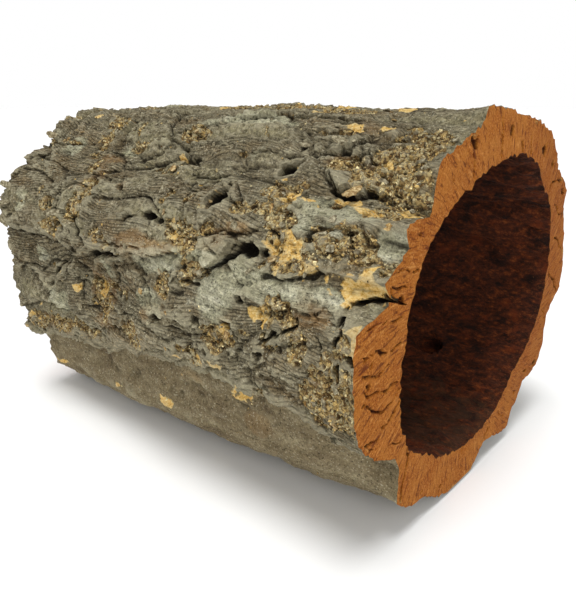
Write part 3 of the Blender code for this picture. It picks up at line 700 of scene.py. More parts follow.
def blurred(field, rows_spread, columns_spread):
    """The field softened along its rows and round its closed columns."""
    margin = int(4 * rows_spread) + 1
    padded = np.pad(field, ((margin, margin), (0, 0)), mode="edge")
    rows = np.fft.fftfreq(padded.shape[0])[:, None]
    columns = np.fft.rfftfreq(padded.shape[1])[None, :]
    keep = np.exp(-2 * math.pi ** 2 * ((rows * rows_spread) ** 2 + (columns * columns_spread) ** 2))
    soft = np.fft.irfft2(np.fft.rfft2(padded) * keep, s=padded.shape)
    return soft[margin:-margin]


def terraced(height, step, share):
    """Heights pulled towards even steps, as growth layers break off one by one."""
    level = height / step
    whole = np.floor(level)
    stepped = (whole + smooth_step(level - whole, 0.84, 1.0)) * step
    return height + share * (stepped - height)


def bark_surface(u, clock):
    """Points of the outer bark in millimetres, and what its finish needs to know about each."""
    x, y, z = on_sleeve(u, clock)
    drop, band = ledge_drop(u, clock)
    worn = WORN_SHARE * np.exp(-(clock_gap(clock, WORN_TOP) / WORN_SPREAD) ** 2)
    plates = plate_relief(u, clock)
    scales = scale_relief(u, clock)
    rise = knolls(u, clock)
    ridges = ridge_relief(u, clock)

    crumb_edge = 0.45 * noise(x / 9, y / 6, z / 6, 71) + 0.3 * noise(x / 3.4, y / 2.8, z / 2.8, 72)
    wild = noise(x / 34, y / 15, z / 15, 73) + 0.5 * noise(x / 12, y / 7, z / 7, 74)
    crumb = patches(CRUMBLED, u, clock, 0.45, 1.35) + 0.55 * smooth_step(wild, 0.3, 0.9)
    crumb = smooth_step(crumb + crumb_edge, 0.42, 0.75) * (1 - 0.85 * band)

    calm = patches(CALM, u, clock, 0.5, 1.3)
    swirl = KNOT_SWING * patches(KNOT, u, clock, 0.0, 1.0)
    grain = (7 * noise(x / 75, y / 40, z / 40, 75) + 2.2 * noise(x / 26, y / 15, z / 15, 76)
             + 0.7 * noise(x / 9, y / 6, z / 6, 70) + 1.5 * rise + swirl)
    flakes = nearest_cells((x + 3 * grain * 0.2) / 7.5 + 0.4 * noise(x / 3, y / 2, z / 2, 65),
                           y / 3.4 + 0.4 * noise(x / 3, y / 2, z / 2, 64), z / 3.4, 63)
    flaky = ((flakes[2] % 61) / 61.0 - 0.5) * 0.9 + 0.5 * smooth_step(flakes[1] - flakes[0], 0.0, 0.25)
    ragged = 0.6 * noise(x / 9, y / 5, z / 5, 77) + 0.35 * noise(x / 3.4, y / 2.6, z / 2.6, 69)
    layers = terraced(plates + 0.75 * rise + 0.8 * ridges + ragged, 1.5, 0.7) - 0.6 * ragged
    relief = layers * (1 - 0.45 * calm) + (
        0.7 * scales * (1 - calm) + flaky * (1 - 0.7 * calm)) * (1 - crumb)
    relief = relief * (1 - 0.8 * band) + 0.3 * ridges
    bulges = 1.3 * noise(x / 26, y / 15, z / 15, 61) + 0.6 * noise(x / 9, y / 7, z / 7, 62)
    relief = relief + bulges * band
    relief = relief * (1 - worn) + scarp_relief(u, clock) * (1 - band)

    lumps = nearest_cells(x / 4.6, y / 3.6, z / 3.6, 23)
    grains = nearest_cells(x / 2.2, y / 2.0, z / 2.0, 24)
    rubble = (0.7 * (0.55 - lumps[0]) + ((lumps[2] % 61) / 61.0 - 0.6) * 1.3
              + 0.9 * ((grains[2] % 61) / 61.0 - 0.5) - 0.6
              + 1.1 * noise(x / 3.2, y / 2.2, z / 2.2, 39))
    fine = 0.25 * noise(x / 6, y / 2.6, z / 2.6, 34) + 0.3 * noise(x / 2.6, y / 1.9, z / 1.9, 35)
    fine = fine - 0.7 * np.abs(noise(x / 7, y / 3.4, z / 3.4, 36)) + 0.2
    fine = fine * (1 - 0.6 * band) + crumb * rubble
    streaks = 0.15 * np.sin((MEAN_RADIUS * clock + grain) * GRAIN_LINES / MEAN_RADIUS / 2)
    streaks = streaks * (1 - crumb) * (1 - band) * (1 + 0.5 * calm) * (
        0.4 + 0.6 * smooth_step(wild, -0.5, 0.1))

    end_share = np.exp(-u / BARK_FADE)
    body = body_outline(u, clock) - drop + relief
    radius = end_share * read_outline(BARK_OUTLINE, clock) + (1 - end_share) * body
    depth = hollows(u, clock) * (1 - band)
    bore = bore_radius(u, clock)
    crumbling = 0.8 * noise(x / 4, y / 3.2, z / 3.2, 37) + 0.5 * noise(x / 1.8, y / 1.7, z / 1.7, 38)
    at_cut = 1 - smooth_step(u, 0.0, 4.0)
    fine = (fine + streaks) * (1 - 0.6 * at_cut) + crumbling * at_cut * (1 - 0.7 * band)
    radius = np.maximum(radius + fine, bore + LEAST_WALL)
    radius = np.maximum(radius - depth, bore + PIT_WALL)

    row_mm = float(abs(u[1, 0] - u[0, 0]))
    column_mm = TURN * MEAN_RADIUS / u.shape[1]
    broad_height = blurred(radius, 7.0 / row_mm, 7.0 / column_mm)
    near_height = blurred(radius, 1.8 / row_mm, 1.8 / column_mm)
    proud = radius - broad_height
    # cavity: height against the blurred surface, which the finish turns into painted shade in the low
    # parts and a painted highlight on the proud ones
    cavity = 0.5 * proud / 3.0 + 0.5 * (radius - near_height) / 0.8

    hold = smooth_step(u, 0.0, 9.0) * smooth_step(LENGTH - u, 0.0, 6.0)
    shear = np.clip(proud, -9.0, 6.0) * hold
    u_moved = u - 0.25 * shear
    clock_moved = clock + 0.22 * shear / MEAN_RADIUS

    torn = 0.55 * noise(x / 5, y / 3.6, z / 3.6, 78) + 0.3 * noise(x / 2, y / 1.6, z / 1.6, 68)
    fresh = smooth_step(patches(FRESH, u, clock, 0.2, 1.5) + torn, 0.35, 0.8)
    lichen = patches(LICHEN, u, clock, 0.2, 1.5) + 0.5 * noise(x / 10, y / 7, z / 7, 79)
    lichen = lichen + 0.22 * smooth_step(noise(x / 40, y / 22, z / 22, 80), 0.1, 0.6)
    lichen = smooth_step(lichen, 0.2, 1.1) * (1 - 0.5 * crumb)
    stained = patches(STAINED, u, clock, 0.1, 1.6) + 0.4 * noise(x / 14, y / 9, z / 9, 67)
    stained = stained + 0.5 * smooth_step(noise(x / 50, y / 26, z / 26, 66), 0.2, 0.6)
    stained = smooth_step(stained, 0.2, 1.1)
    # pit carries the depth of the pits, which the finish paints as shade
    marks = {"cavity": cavity, "crumb": crumb, "fresh": fresh, "lichen": lichen,
             "stained": stained, "grain": grain, "band": band, "pit": depth / 8.0}
    return u_moved, clock_moved, radius, marks


def crack_depth(clock, share, wall):
    """Depth of the cracks and holes in a sawn face."""
    x, y = MEAN_RADIUS * clock, share * wall
    wander = 0.6 * noise(x / 3, y / 3, y * 0, 81) + 0.4 * noise(x / 1.3, y / 1.3, y * 0, 82)
    bend = 1.6 * noise(x / 6, y / 6, y * 0, 83)
    depth = np.zeros_like(clock)
    for points, half_width, deep in FACE_CRACKS:
        for (from_clock, from_share), (to_clock, to_share) in zip(points, points[1:]):
            ax = clock_gap(clock, from_clock) * FACE_RADIUS + bend
            ay = (share - from_share) * wall
            bx = math.radians((to_clock - from_clock + 180) % 360 - 180) * FACE_RADIUS
            by = (to_share - from_share) * wall
            along = np.clip((ax * bx + ay * by) / (bx * bx + by * by), 0.0, 1.0)
            away = np.hypot(ax - along * bx, ay - along * by) / half_width + wander
            depth = np.maximum(depth, deep * (1 - smooth_step(away, 0.2, 1.5)))
    for degrees, place, half_width, deep in FACE_HOLES:
        ax = clock_gap(clock, degrees) * FACE_RADIUS
        away = np.hypot(ax, (share - place) * wall) + wander * half_width
        depth = np.maximum(depth, deep * (1 - smooth_step(away / half_width, 0.4, 1.2)))
    return depth


def sawn_face(bark_rim, bore_rim, clock, rows, away_from_bore):
    """Points of a sawn end between its two rims: share of the wall, clock, reach and wall thickness at
    each.
    """
    share = np.linspace(0.0, 1.0, rows + 2)[1:-1][:, None] * np.ones_like(clock)[None, :]
    if not away_from_bore:
        share = 1.0 - share
    bark_clock, bark_reach = bark_rim
    bore_reach = bore_rim[None, :]
    turned = clock[None, :] + (bark_clock - clock)[None, :] * share
    reach = bore_reach + share * (bark_reach[None, :] - bore_reach)
    wall = bark_reach[None, :] - bore_reach
    return share, turned, reach, wall


BARK_ROWS = 420
NEAR_ROWS = 60
BORE_ROWS = 110
FAR_ROWS = 26
STEPS_AROUND = 720
KEPT_SHARE = 0.222


def seated(along, across, height):
    """Heights once the tube lies on its three low points, with the rest of it clear of the ground."""
    away = np.full_like(height, np.inf)
    for place, side, half_length, half_width in LOW_POINTS:
        away = np.minimum(
            away, np.hypot((along - place) / half_length, (across - side) / half_width))
    underside = height < GROUND_LEVEL + UNDERSIDE_REACH
    pull = np.where(underside, 1 - smooth_step(away, 1.0, 1.6), 0.0)
    settled = height + pull * (GROUND_LEVEL - height)
    return np.maximum(settled, GROUND_LEVEL + UNDERSIDE_LIFT * smooth_step(away, 1.0, 2.0))


@functools.lru_cache(maxsize=1)
def tube_grid():
    """Every ring of the tube, from the far rim over the bark, the sawn face and the bore and back."""
    clock_line = np.arange(STEPS_AROUND) * TURN / STEPS_AROUND
    clock = np.tile(clock_line, (BARK_ROWS, 1))
    rim = broken_rim(clock_line)
    share = np.linspace(1.0, 0.0, BARK_ROWS)[:, None]
    u = share * (LENGTH - rim[None, :])
    bark_u, bark_clock, bark_reach, marks = bark_surface(u, clock)
    bark_u[-1] = 0.0

    bore_u = np.linspace(0.0, LENGTH, BORE_ROWS)[:, None] * np.ones(STEPS_AROUND)[None, :]
    bore_clock = np.tile(clock_line, (BORE_ROWS, 1))
    x, y, z = on_sleeve(bore_u, bore_clock)
    bore_reach = bore_radius(bore_u, bore_clock)
    fibres = 0.5 * noise(x / 30, y / 3.5, z / 3.5, 53) + 0.35 * noise(x / 5, y / 2.5, z / 2.5, 54)
    bits = nearest_cells(x / 7, y / 4.5, z / 4.5, 56)
    lumps = (1.0 * noise(x / 12, y / 6, z / 6, 55) + 0.9 * ((bits[2] % 61) / 61.0 - 0.5)
             - 0.8 * smooth_step(bits[0], 0.3, 0.8))
    bore_depth = np.zeros_like(bore_u)
    for centre, degrees, half_length, half_width, deep in BORE_HOLES:
        along = (bore_u - centre) / half_length
        across = clock_gap(bore_clock, degrees) * BORE_RADIUS / half_width
        away = np.hypot(along, across) + 0.3 * lumps
        bore_depth = np.maximum(bore_depth, deep * (1 - smooth_step(away, 0.5, 1.1)))
    torn = 1.1 * noise(x / 6, y / 5, z / 5, 57) + 0.25 * noise(x / 2.4, y / 2.2, z / 2.2, 58)
    inside = smooth_step(bore_u, 0.0, 5.0)
    bore_reach = (bore_reach + (fibres + lumps) * (0.35 + 0.65 * inside) + torn * (1 - inside)
                  + bore_depth)

    near_share, near_clock, near_reach, near_wall = sawn_face(
        (bark_clock[-1], bark_reach[-1]), bore_reach[0], clock_line, NEAR_ROWS, False)
    far_share, far_clock, far_reach, _ = sawn_face(
        (bark_clock[0], bark_reach[0]), bore_reach[-1], clock_line, FAR_ROWS, True)
    # The cracks stop short of both rims, which would be left standing as thin fins
    cracks = crack_depth(near_clock, near_share, near_wall)
    cracks = cracks * smooth_step(near_share, 0.0, 0.06) * (1 - smooth_step(near_share, 0.88, 0.97))
    fx, fy = far_reach * np.cos(far_clock), far_reach * np.sin(far_clock)
    far_cracks = np.maximum(noise(fx / 14, fy / 14, fx * 0, 91) * 2.0 - 0.7, 0.0)
    broken_back = LENGTH - bark_u[0][None, :]
    far_u = LENGTH - far_cracks - smooth_step(far_share, 0.35, 1.0) * broken_back

    rings = [
        (bark_u, bark_clock, bark_reach), (cracks, near_clock, near_reach),
        (bore_u, bore_clock, bore_reach), (far_u, far_clock, far_reach),
    ]
    along = np.concatenate([ring[0] for ring in rings])
    angle = np.concatenate([ring[1] for ring in rings])
    reach = np.concatenate([ring[2] for ring in rings])
    ring_number = np.arange(along.shape[0], dtype=float)[:, None] * np.ones(STEPS_AROUND)
    pressed = np.concatenate(
        [np.zeros_like(bark_u), cracks, bore_depth, far_cracks])
    edge = np.concatenate([
        np.zeros_like(bark_u), near_share, np.zeros_like(bore_u), far_share])
    full = {"ring": ring_number, "crack": pressed, "edge": edge}
    rest = along.shape[0] - BARK_ROWS
    for name, values in marks.items():
        full[name] = np.concatenate([values, np.tile(values[-1], (rest, 1))])
    across = reach * np.cos(angle)
    return np.stack([-along, across, seated(along, across, reach * np.sin(angle))], axis=-1), full


def closed_ring_mesh(rings):
    """A sleeve with its two ends joined, and the ring and step that each vertex stands on."""
    mesh = bmesh.new()
    bmesh.ops.create_cone(
        mesh, cap_ends=False, segments=STEPS_AROUND, radius1=1.0, radius2=1.0, depth=1.0)
    lengthwise = [
        edge for edge in mesh.edges
        if abs(edge.verts[0].co.z - edge.verts[1].co.z) > 0.5
    ]
    bmesh.ops.subdivide_edges(mesh, edges=lengthwise, cuts=rings - 2, use_grid_fill=True)
    ends = [edge for edge in mesh.edges if edge.is_boundary]
    bmesh.ops.bridge_loops(mesh, edges=ends)
    data = bpy.data.meshes.new("bark_tube")
    mesh.to_mesh(data)
    mesh.free()
    unit = np.empty(len(data.vertices) * 3, dtype=np.float32)
    data.vertices.foreach_get("co", unit)
    unit = unit.reshape(-1, 3)
    ring = np.rint((0.5 - unit[:, 2]) * (rings - 1)).astype(int)
    step = np.rint(np.arctan2(unit[:, 1], unit[:, 0]) % TURN / TURN * STEPS_AROUND).astype(int)
    return data, ring, step % STEPS_AROUND


def make_tube():
    """Build the tube's fine skin with the marks that its finish reads, and thin it out."""
    places, marks = tube_grid()
    data, ring, step = closed_ring_mesh(places.shape[0])
    centre = np.array(FACE_CENTRE)
    spots = places[ring, step] * MM + centre
    data.vertices.foreach_set("co", spots.astype(np.float32).ravel())
    for name, values in marks.items():
        layer = data.attributes.new(name, "FLOAT", "POINT")
        layer.data.foreach_set("value", values[ring, step].astype(np.float32))
    data.update()
    tube = bpy.data.objects.new("bark_tube", data)
    bpy.context.scene.collection.objects.link(tube)
    thin = tube.modifiers.new("thin_out", "DECIMATE")
    thin.ratio = KEPT_SHARE
    depsgraph = bpy.context.evaluated_depsgraph_get()
    kept = bpy.data.meshes.new_from_object(tube.evaluated_get(depsgraph))
    tube.modifiers.clear()
    tube.data = kept
    bpy.data.meshes.remove(data)
    face_out(kept)
    return tube


# How low on the tube a crumb or scale may sit, and how many rows from either end they start
LOWEST_PIECE = 4.0
ROWS_KEPT_CLEAR = 4


def bark_spots(wanted, likelihood, seed):
    """Random places on the bark: points in metres, outward directions and directions along it."""
    places, marks = tube_grid()
    bark = places[:BARK_ROWS] * MM + np.array(FACE_CENTRE)
    chance = likelihood({name: values[:BARK_ROWS] for name, values in marks.items()})
    chance[bark[..., 2] < LOWEST_PIECE * MM] = 0.0
    chance[:ROWS_KEPT_CLEAR] = 0.0
    chance[-ROWS_KEPT_CLEAR:] = 0.0
    draw = np.random.default_rng(seed)
    picks = draw.choice(chance.size, size=wanted, replace=False, p=chance.ravel() / chance.sum())
    rows, steps = np.unravel_index(picks, chance.shape)
    soft = np.stack([blurred(bark[..., n] - bark[..., n].mean(), 2.0, 2.0) for n in range(3)], -1)
    near, far = np.clip(rows + 2, 0, BARK_ROWS - 1), np.clip(rows - 2, 0, BARK_ROWS - 1)
    along = soft[near, steps] - soft[far, steps]
    around = soft[rows, (steps + 2) % STEPS_AROUND] - soft[rows, (steps - 2) % STEPS_AROUND]
    out = np.cross(around, along)
    out /= np.linalg.norm(out, axis=1)[:, None]
    along /= np.linalg.norm(along, axis=1)[:, None]
    outward = np.stack([np.zeros(len(rows)), *(bark[rows, steps] - np.array(FACE_CENTRE)).T[1:]], -1)
    out *= np.sign(np.sum(out * outward, axis=1))[:, None]
    return bark[rows, steps], out, along


def gather(batches, name):
    """One mesh from many small ones."""
    whole = bmesh.new()
    for batch in batches:
        data = bpy.data.meshes.new("batch")
        batch.to_mesh(data)
        batch.free()
        whole.from_mesh(data)
        bpy.data.meshes.remove(data)
    data = bpy.data.meshes.new(name)
    whole.to_mesh(data)
    whole.free()
    piece = bpy.data.objects.new(name, data)
    bpy.context.scene.collection.objects.link(piece)
    return piece


def finish_piece(piece, material):
    """Give a piece its finish and tie it to the tube."""
    piece.data.materials.append(material)
    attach(piece, "root")


# Usual and largest size of a crumb, from its middle to its side
CRUMB_SIZE = 0.32
CRUMB_MOST = 0.7

# Small batches are quicker to build than one large mesh
CRUMBS_IN_BATCH = 150
SCALES_IN_BATCH = 60


def make_crumbs(wanted):
    """Crumbs of bare cork clinging where the bark has broken up."""
    draw = np.random.default_rng(5)
    spots, out, _ = bark_spots(
        wanted, lambda m: m["crumb"] ** 2 * (1 - m["band"]) + 0.004 + 0.15 * m["fresh"], 6)
    batches, batch = [], None
    for count, (spot, normal) in enumerate(zip(spots, out)):
        if count % CRUMBS_IN_BATCH == 0:
            batch = bmesh.new()
            tint = batch.verts.layers.float.new("tint")
            batches.append(batch)
        size = min(MM * CRUMB_SIZE * math.exp(0.4 * draw.standard_normal()), CRUMB_MOST * MM)
        turn = Vector(draw.standard_normal(3)).normalized()
        grow = Matrix.Diagonal((*(size * (0.3 + 1.2 * draw.random(3))), 1.0))
        place = (Matrix.Translation(Vector(spot - normal * size * 0.25))
                 @ Matrix.Rotation(draw.random() * TURN, 4, turn) @ grow)
        made = bmesh.ops.create_cube(batch, size=1.7, matrix=place)
        shade = draw.random()
        middle = Vector(spot)
        for vert in made["verts"]:
            vert[tint] = shade
            vert.co = middle + (vert.co - middle) * (0.35 + 1.0 * draw.random())
    return gather(batches, "cork_crumbs")


# Loose scales of bark: u, clock, length, width, turn in degrees, lift in degrees
SCALES = (
    (56, 139, 11, 6, 10, 8), (120, 131.5, 10, 2, 5, 8), (150, 124, 7, 5, 60, 12),
    (241, 129, 7, 4, 10, 20), (244, 152, 8, 4, -10, 14), (242, 157, 10, 3, 30, 30),
    (240, 163, 8, 6, -20, 6), (189, 156, 11, 3, 20, 22), (62, 121, 5, 3, 30, 16),
    (240, 171, 8, 7, 0, 3), (240, 180, 8, 6, 10, 4), (240, 193, 7, 5, -10, 4),
    (28, 133, 8, 4, 80, 14), (44, 120, 7, 4, 10, 16), (238, 118, 7, 5, 25, 10),
    (100, 178, 8, 4, 20, 16), (88, 186, 9, 3, 0, 14), (232, 198, 8, 4, 10, 14),
)


def make_scales(wanted):
    """Thin scales of bark that have lifted and curled."""
    draw = np.random.default_rng(8)
    spots, out, along = bark_spots(
        wanted, lambda m: np.clip(m["cavity"], 0, 1) * (1 - m["band"]) * (0.3 + m["crumb"]), 9)
    jobs = []
    for spot, normal, axis in zip(spots, out, along):
        jobs.append((spot, normal, axis, 1.4 + 2.4 * draw.random(), 1.2 + 1.6 * draw.random(),
                     draw.normal(0, 60), 1 + 6 * draw.random()))
    places, _ = tube_grid()
    rim = broken_rim(np.radians(np.array([scale[1] for scale in SCALES])))
    for (u, degrees, length, width, turn, lift), back in zip(SCALES, rim):
        row = int(round((1.0 - u / (LENGTH - back)) * (BARK_ROWS - 1)))
        row = min(max(row, 2), BARK_ROWS - 3)
        step = int(round(degrees / 360 * STEPS_AROUND)) % STEPS_AROUND
        spot = places[row, step] * MM + np.array(FACE_CENTRE)
        angle = math.radians(degrees)
        jobs.append((spot, np.array((0.0, math.cos(angle), math.sin(angle))),
                     np.array((-1.0, 0.0, 0.0)), length, width, turn, lift))
    batches, batch = [], None
    for count, (spot, normal, axis, length, width, turn, lift) in enumerate(jobs):
        if count % SCALES_IN_BATCH == 0:
            batch = bmesh.new()
            tint = batch.verts.layers.float.new("tint")
            batches.append(batch)
        made = bmesh.ops.create_grid(batch, x_segments=5, y_segments=3, size=0.5)
        faces = {face for vert in made["verts"] for face in vert.link_faces}
        curl = 0.3 + 0.5 * draw.random()
        shade = draw.random()
        for vert in made["verts"]:
            x, y = vert.co.x, vert.co.y
            rag = 1.0 + 0.35 * (draw.random() - 0.5)
            vert.co = Vector((x * length * rag, y * width * rag * (1.15 - abs(x) * 0.9),
                              curl * length * 0.22 * (x + 0.5) ** 2 - 0.1 * abs(y) * width
                              + 0.12 * draw.random()))
            vert[tint] = shade
        thick = bmesh.ops.solidify(batch, geom=list(faces), thickness=0.5)
        every = set(made["verts"]) | {
            item for item in thick["geom"] if isinstance(item, bmesh.types.BMVert)}
        side = Vector(np.cross(normal, axis)).normalized()
        up = Vector(normal).normalized()
        ahead = side.cross(up).normalized()
        frame_of = Matrix((ahead, side, up)).transposed().to_4x4()
        place = (Matrix.Translation(Vector(spot)) @ frame_of
                 @ Matrix.Rotation(math.radians(turn), 4, "Z")
                 @ Matrix.Rotation(-math.radians(lift), 4, "Y")
                 @ Matrix.Diagonal((MM, MM, MM, 1.0)) @ Matrix.Translation((length * 0.3, 0, 0.1)))
        bmesh.ops.transform(batch, matrix=place, verts=list(every))
    piece = gather(batches, "bark_scales")
    face_out(piece.data)
    return piece


def face_out(data):
    """Turn every face of a closed mesh outwards."""
    mesh = bmesh.new()
    mesh.from_mesh(data)
    bmesh.ops.recalc_face_normals(mesh, faces=mesh.faces[:])
    mesh.to_mesh(data)
    mesh.free()


def set_zones(data):
    """Give the bark, the sawn faces and the bore their own material slots."""
    ring = np.empty(len(data.vertices), dtype=np.float32)
    data.attributes["ring"].data.foreach_get("value", ring)
    corners = np.empty(len(data.loops), dtype=np.int32)
    data.loops.foreach_get("vertex_index", corners)
    starts = np.empty(len(data.polygons), dtype=np.int32)
    data.polygons.foreach_get("loop_start", starts)
    values = np.stack([ring[corners[starts + n]] for n in range(3)])
    rings = BARK_ROWS + NEAR_ROWS + BORE_ROWS + FAR_ROWS
    across_join = values.max(axis=0) - values.min(axis=0) > rings / 2
    values = np.where(across_join & (values < rings / 2), values + rings, values)
    middle = values.mean(axis=0)
    index = np.zeros(len(starts), dtype=np.int32)
    near_end = BARK_ROWS + NEAR_ROWS
    index[(middle > BARK_ROWS - 0.9) & (middle < near_end + 0.1)] = 1
    index[(middle >= near_end + 0.1) & (middle < near_end + BORE_ROWS - 1.1)] = 2
    index[(middle >= near_end + BORE_ROWS - 1.1) & (middle < rings - 0.1)] = 1
    spots = np.empty(len(data.vertices) * 3, dtype=np.float32)
    data.vertices.foreach_get("co", spots)
    inward = FACE_CENTRE[0] - spots[::3]
    index[np.max([inward[corners[starts + n]] for n in range(3)], axis=0) < FLAT_OF_CUT * MM] = 1
    data.polygons.foreach_set("material_index", index)
    data.update()


def linear(hex_colour):
    """An sRGB hex colour as linear red, green, blue and alpha."""
    parts = [int(hex_colour[n:n + 2], 16) / 255 for n in (1, 3, 5)]
    return tuple(p / 12.92 if p <= 0.04045 else ((p + 0.055) / 1.055) ** 2.4 for p in parts) + (1.0,)


def add_node(tree, kind, settings=()):
    """Add a node: a setting is a property, a value or a link for a socket, or a ramp's stops."""
    node = tree.nodes.new("ShaderNode" + kind)
    for key, value in dict(settings).items():
        if key == "stops":
            points = node.color_ramp.elements
            for point, (place, colour) in zip((points[0], points[1]), (value[0], value[-1])):
                point.position, point.color = place, linear(colour)
            for place, colour in value[1:-1]:
                points.new(place).color = linear(colour)
        elif isinstance(value, bpy.types.NodeSocket):
            tree.links.new(value, node.inputs[key])
        elif isinstance(key, str) and hasattr(node, key):
            setattr(node, key, value)
        else:
            node.inputs[key].default_value = value
    return node


def finish_material(tree, colour, height, rough, shine, strength, depth):
    """Close a material: its colour and bumps on a dull surface that is not metal."""
    bump = add_node(tree, "Bump", {"Height": height, "Strength": strength, "Distance": depth * MM})
    shader = add_node(tree, "BsdfPrincipled", {
        "Base Color": colour, "Normal": bump.outputs["Normal"], "Roughness": rough,
        "Specular IOR Level": shine})
    add_node(tree, "OutputMaterial", {"Surface": shader.outputs["BSDF"]})


def new_material(name):
    """An empty node material, its tree and the object's own coordinates in it."""
    material = bpy.data.materials.new(name)
    material.use_nodes = True
    tree = material.node_tree
    tree.nodes.clear()
    return material, tree, add_node(tree, "TexCoord").outputs["Object"]


def weathered_bark():
    """Cork bark that has stood in the rain: dead and dry, so a matt grey brown, pale where lichen
    has settled, cream and ochre where it has crumbled to clean cork, and dark in its cracks."""
    material, tree, place = new_material("weathered_cork_bark")
    along = add_node(tree, "Mapping", {"Vector": place, "Scale": (0.3, 1.0, 1.0)}).outputs["Vector"]
    cavity, crumb, fresh, lichen, stained, band, grain, pit = (
        add_node(tree, "Attribute", {"attribute_name": name}).outputs["Fac"]
        for name in ("cavity", "crumb", "fresh", "lichen", "stained", "band", "grain", "pit"))

    # Broad tones of 26 mm, mottling of 7 mm along the grain, and grit.  Real grit is 0.2 to 1 mm
    # and is drawn at 0.9 to 1.7 mm, so that it still shows from a distance
    broad, middle, grit, speck, blotch, hue = (
        add_node(tree, "TexNoise", {
            "Vector": vector, "Scale": 1.0 / (size * MM), "Detail": detail, "Roughness": rough,
        }).outputs["Fac"]
        for vector, size, detail, rough in (
            (place, 26.0, 4.0, 0.55), (along, 7.0, 5.0, 0.65), (place, 1.7, 5.0, 0.8),
            (place, 0.9, 2.0, 0.6), (place, 5.0, 4.0, 0.7), (along, 15.0, 3.0, 0.6)))
    plate = add_node(tree, "ValToRGB", {"Fac": broad, "stops": (
        (0.30, "#706044"), (0.44, "#7B7157"), (0.56, "#857D63"), (0.70, "#7F7254"))})
    shade = add_node(tree, "ValToRGB", {"Fac": middle, "stops": (
        (0.28, "#4C4230"), (0.5, "#807860"), (0.72, "#B0A88C"))})
    colour = add_node(tree, "Mix", {
        "data_type": "RGBA", 0: 0.55, 6: plate.outputs["Color"], 7: shade.outputs["Color"]})
    colour = colour.outputs[2]
    brown = add_node(tree, "MapRange", {
        "Value": hue, "From Min": 0.52, "From Max": 0.68, "To Max": 0.55})
    colour = add_node(tree, "Mix", {
        "data_type": "RGBA", 0: brown.outputs["Result"], 6: colour, 7: linear("#7A6340")}).outputs[2]
    olive = add_node(tree, "MapRange", {
        "Value": hue, "From Min": 0.46, "From Max": 0.32, "To Max": 0.5})
    colour = add_node(tree, "Mix", {
        "data_type": "RGBA", 0: olive.outputs["Result"], 6: colour, 7: linear("#8E8764")}).outputs[2]

    # Fine dark lines that run along the bark and swing round its knots
    centred = add_node(tree, "VectorMath", {"operation": "SUBTRACT", 0: place, 1: FACE_CENTRE})
    part = add_node(tree, "SeparateXYZ", {"Vector": centred.outputs["Vector"]})
    turn = add_node(tree, "Math", {
        "operation": "ARCTAN2", 0: part.outputs["Z"], 1: part.outputs["Y"]}).outputs[0]
    wobble = add_node(tree, "TexNoise", {
        "Vector": along, "Scale": 1.0 / (6.0 * MM), "Detail": 4.0}).outputs["Fac"]
    swing = add_node(tree, "Math", {
        "operation": "MULTIPLY_ADD", 0: grain, 1: 1.0 / MEAN_RADIUS, 2: turn}).outputs[0]
    count = add_node(tree, "Math", {"operation": "MULTIPLY", 0: swing, 1: GRAIN_LINES}).outputs[0]
    phase = add_node(tree, "Math", {"operation": "MULTIPLY_ADD", 0: wobble, 1: 6.0, 2: count})
    wave = add_node(tree, "Math", {"operation": "SINE", 0: phase.outputs[0]}).outputs[0]
    thin = add_node(tree, "MapRange", {
        "interpolation_type": "SMOOTHSTEP", "Value": wave, "From Min": -0.2, "From Max": -0.95})
    where = add_node(tree, "MapRange", {
        "interpolation_type": "SMOOTHSTEP", "Value": hue, "From Min": 0.38, "From Max": 0.54})
    plain = add_node(tree, "Math", {"operation": "MAXIMUM", 0: crumb, 1: band})
    plain = add_node(tree, "Math", {"operation": "SUBTRACT", 0: 1.0, 1: plain.outputs[0]})
    lines = add_node(tree, "Math", {
        "operation": "MULTIPLY", 0: thin.outputs["Result"], 1: where.outputs["Result"]})
    lines = add_node(tree, "Math", {
        "operation": "MULTIPLY", 0: lines.outputs[0], 1: plain.outputs[0]}).outputs[0]
    line_share = add_node(tree, "Math", {"operation": "MULTIPLY", 0: lines, 1: 0.62}).outputs[0]
    colour = add_node(tree, "Mix", {
        "data_type": "RGBA", 0: line_share, 6: colour, 7: linear("#352B1B")}).outputs[2]

    # Stains and lichen with ragged edges, and then the grit over both
    stain = add_node(tree, "ValToRGB", {"Fac": middle, "stops": (
        (0.3, "#5E3E1E"), (0.5, "#86653C"), (0.7, "#A98450"))})
    crust = add_node(tree, "ValToRGB", {"Fac": middle, "stops": (
        (0.3, "#928E70"), (0.5, "#B8B597"), (0.7, "#D6D3BA"))})
    for mark, low, high, strength, layer in (
        (stained, 0.6, 1.25, 0.42, stain), (lichen, 0.6, 1.25, 0.78, crust),
    ):
        ragged = add_node(tree, "Math", {"operation": "MULTIPLY_ADD", 0: blotch, 1: 0.8, 2: mark})
        share = add_node(tree, "MapRange", {
            "interpolation_type": "SMOOTHSTEP", "Value": ragged.outputs[0], "From Min": low,
            "From Max": high, "To Max": strength})
        colour = add_node(tree, "Mix", {
            "data_type": "RGBA", 0: share.outputs["Result"], 6: colour,
            7: layer.outputs["Color"]}).outputs[2]
    tone = add_node(tree, "MapRange", {
        "Value": grit, "From Min": 0.36, "From Max": 0.64, "To Min": 0.42, "To Max": 1.62})
    colour = add_node(tree, "VectorMath", {
        "operation": "SCALE", 0: colour, "Scale": tone.outputs["Result"]}).outputs["Vector"]

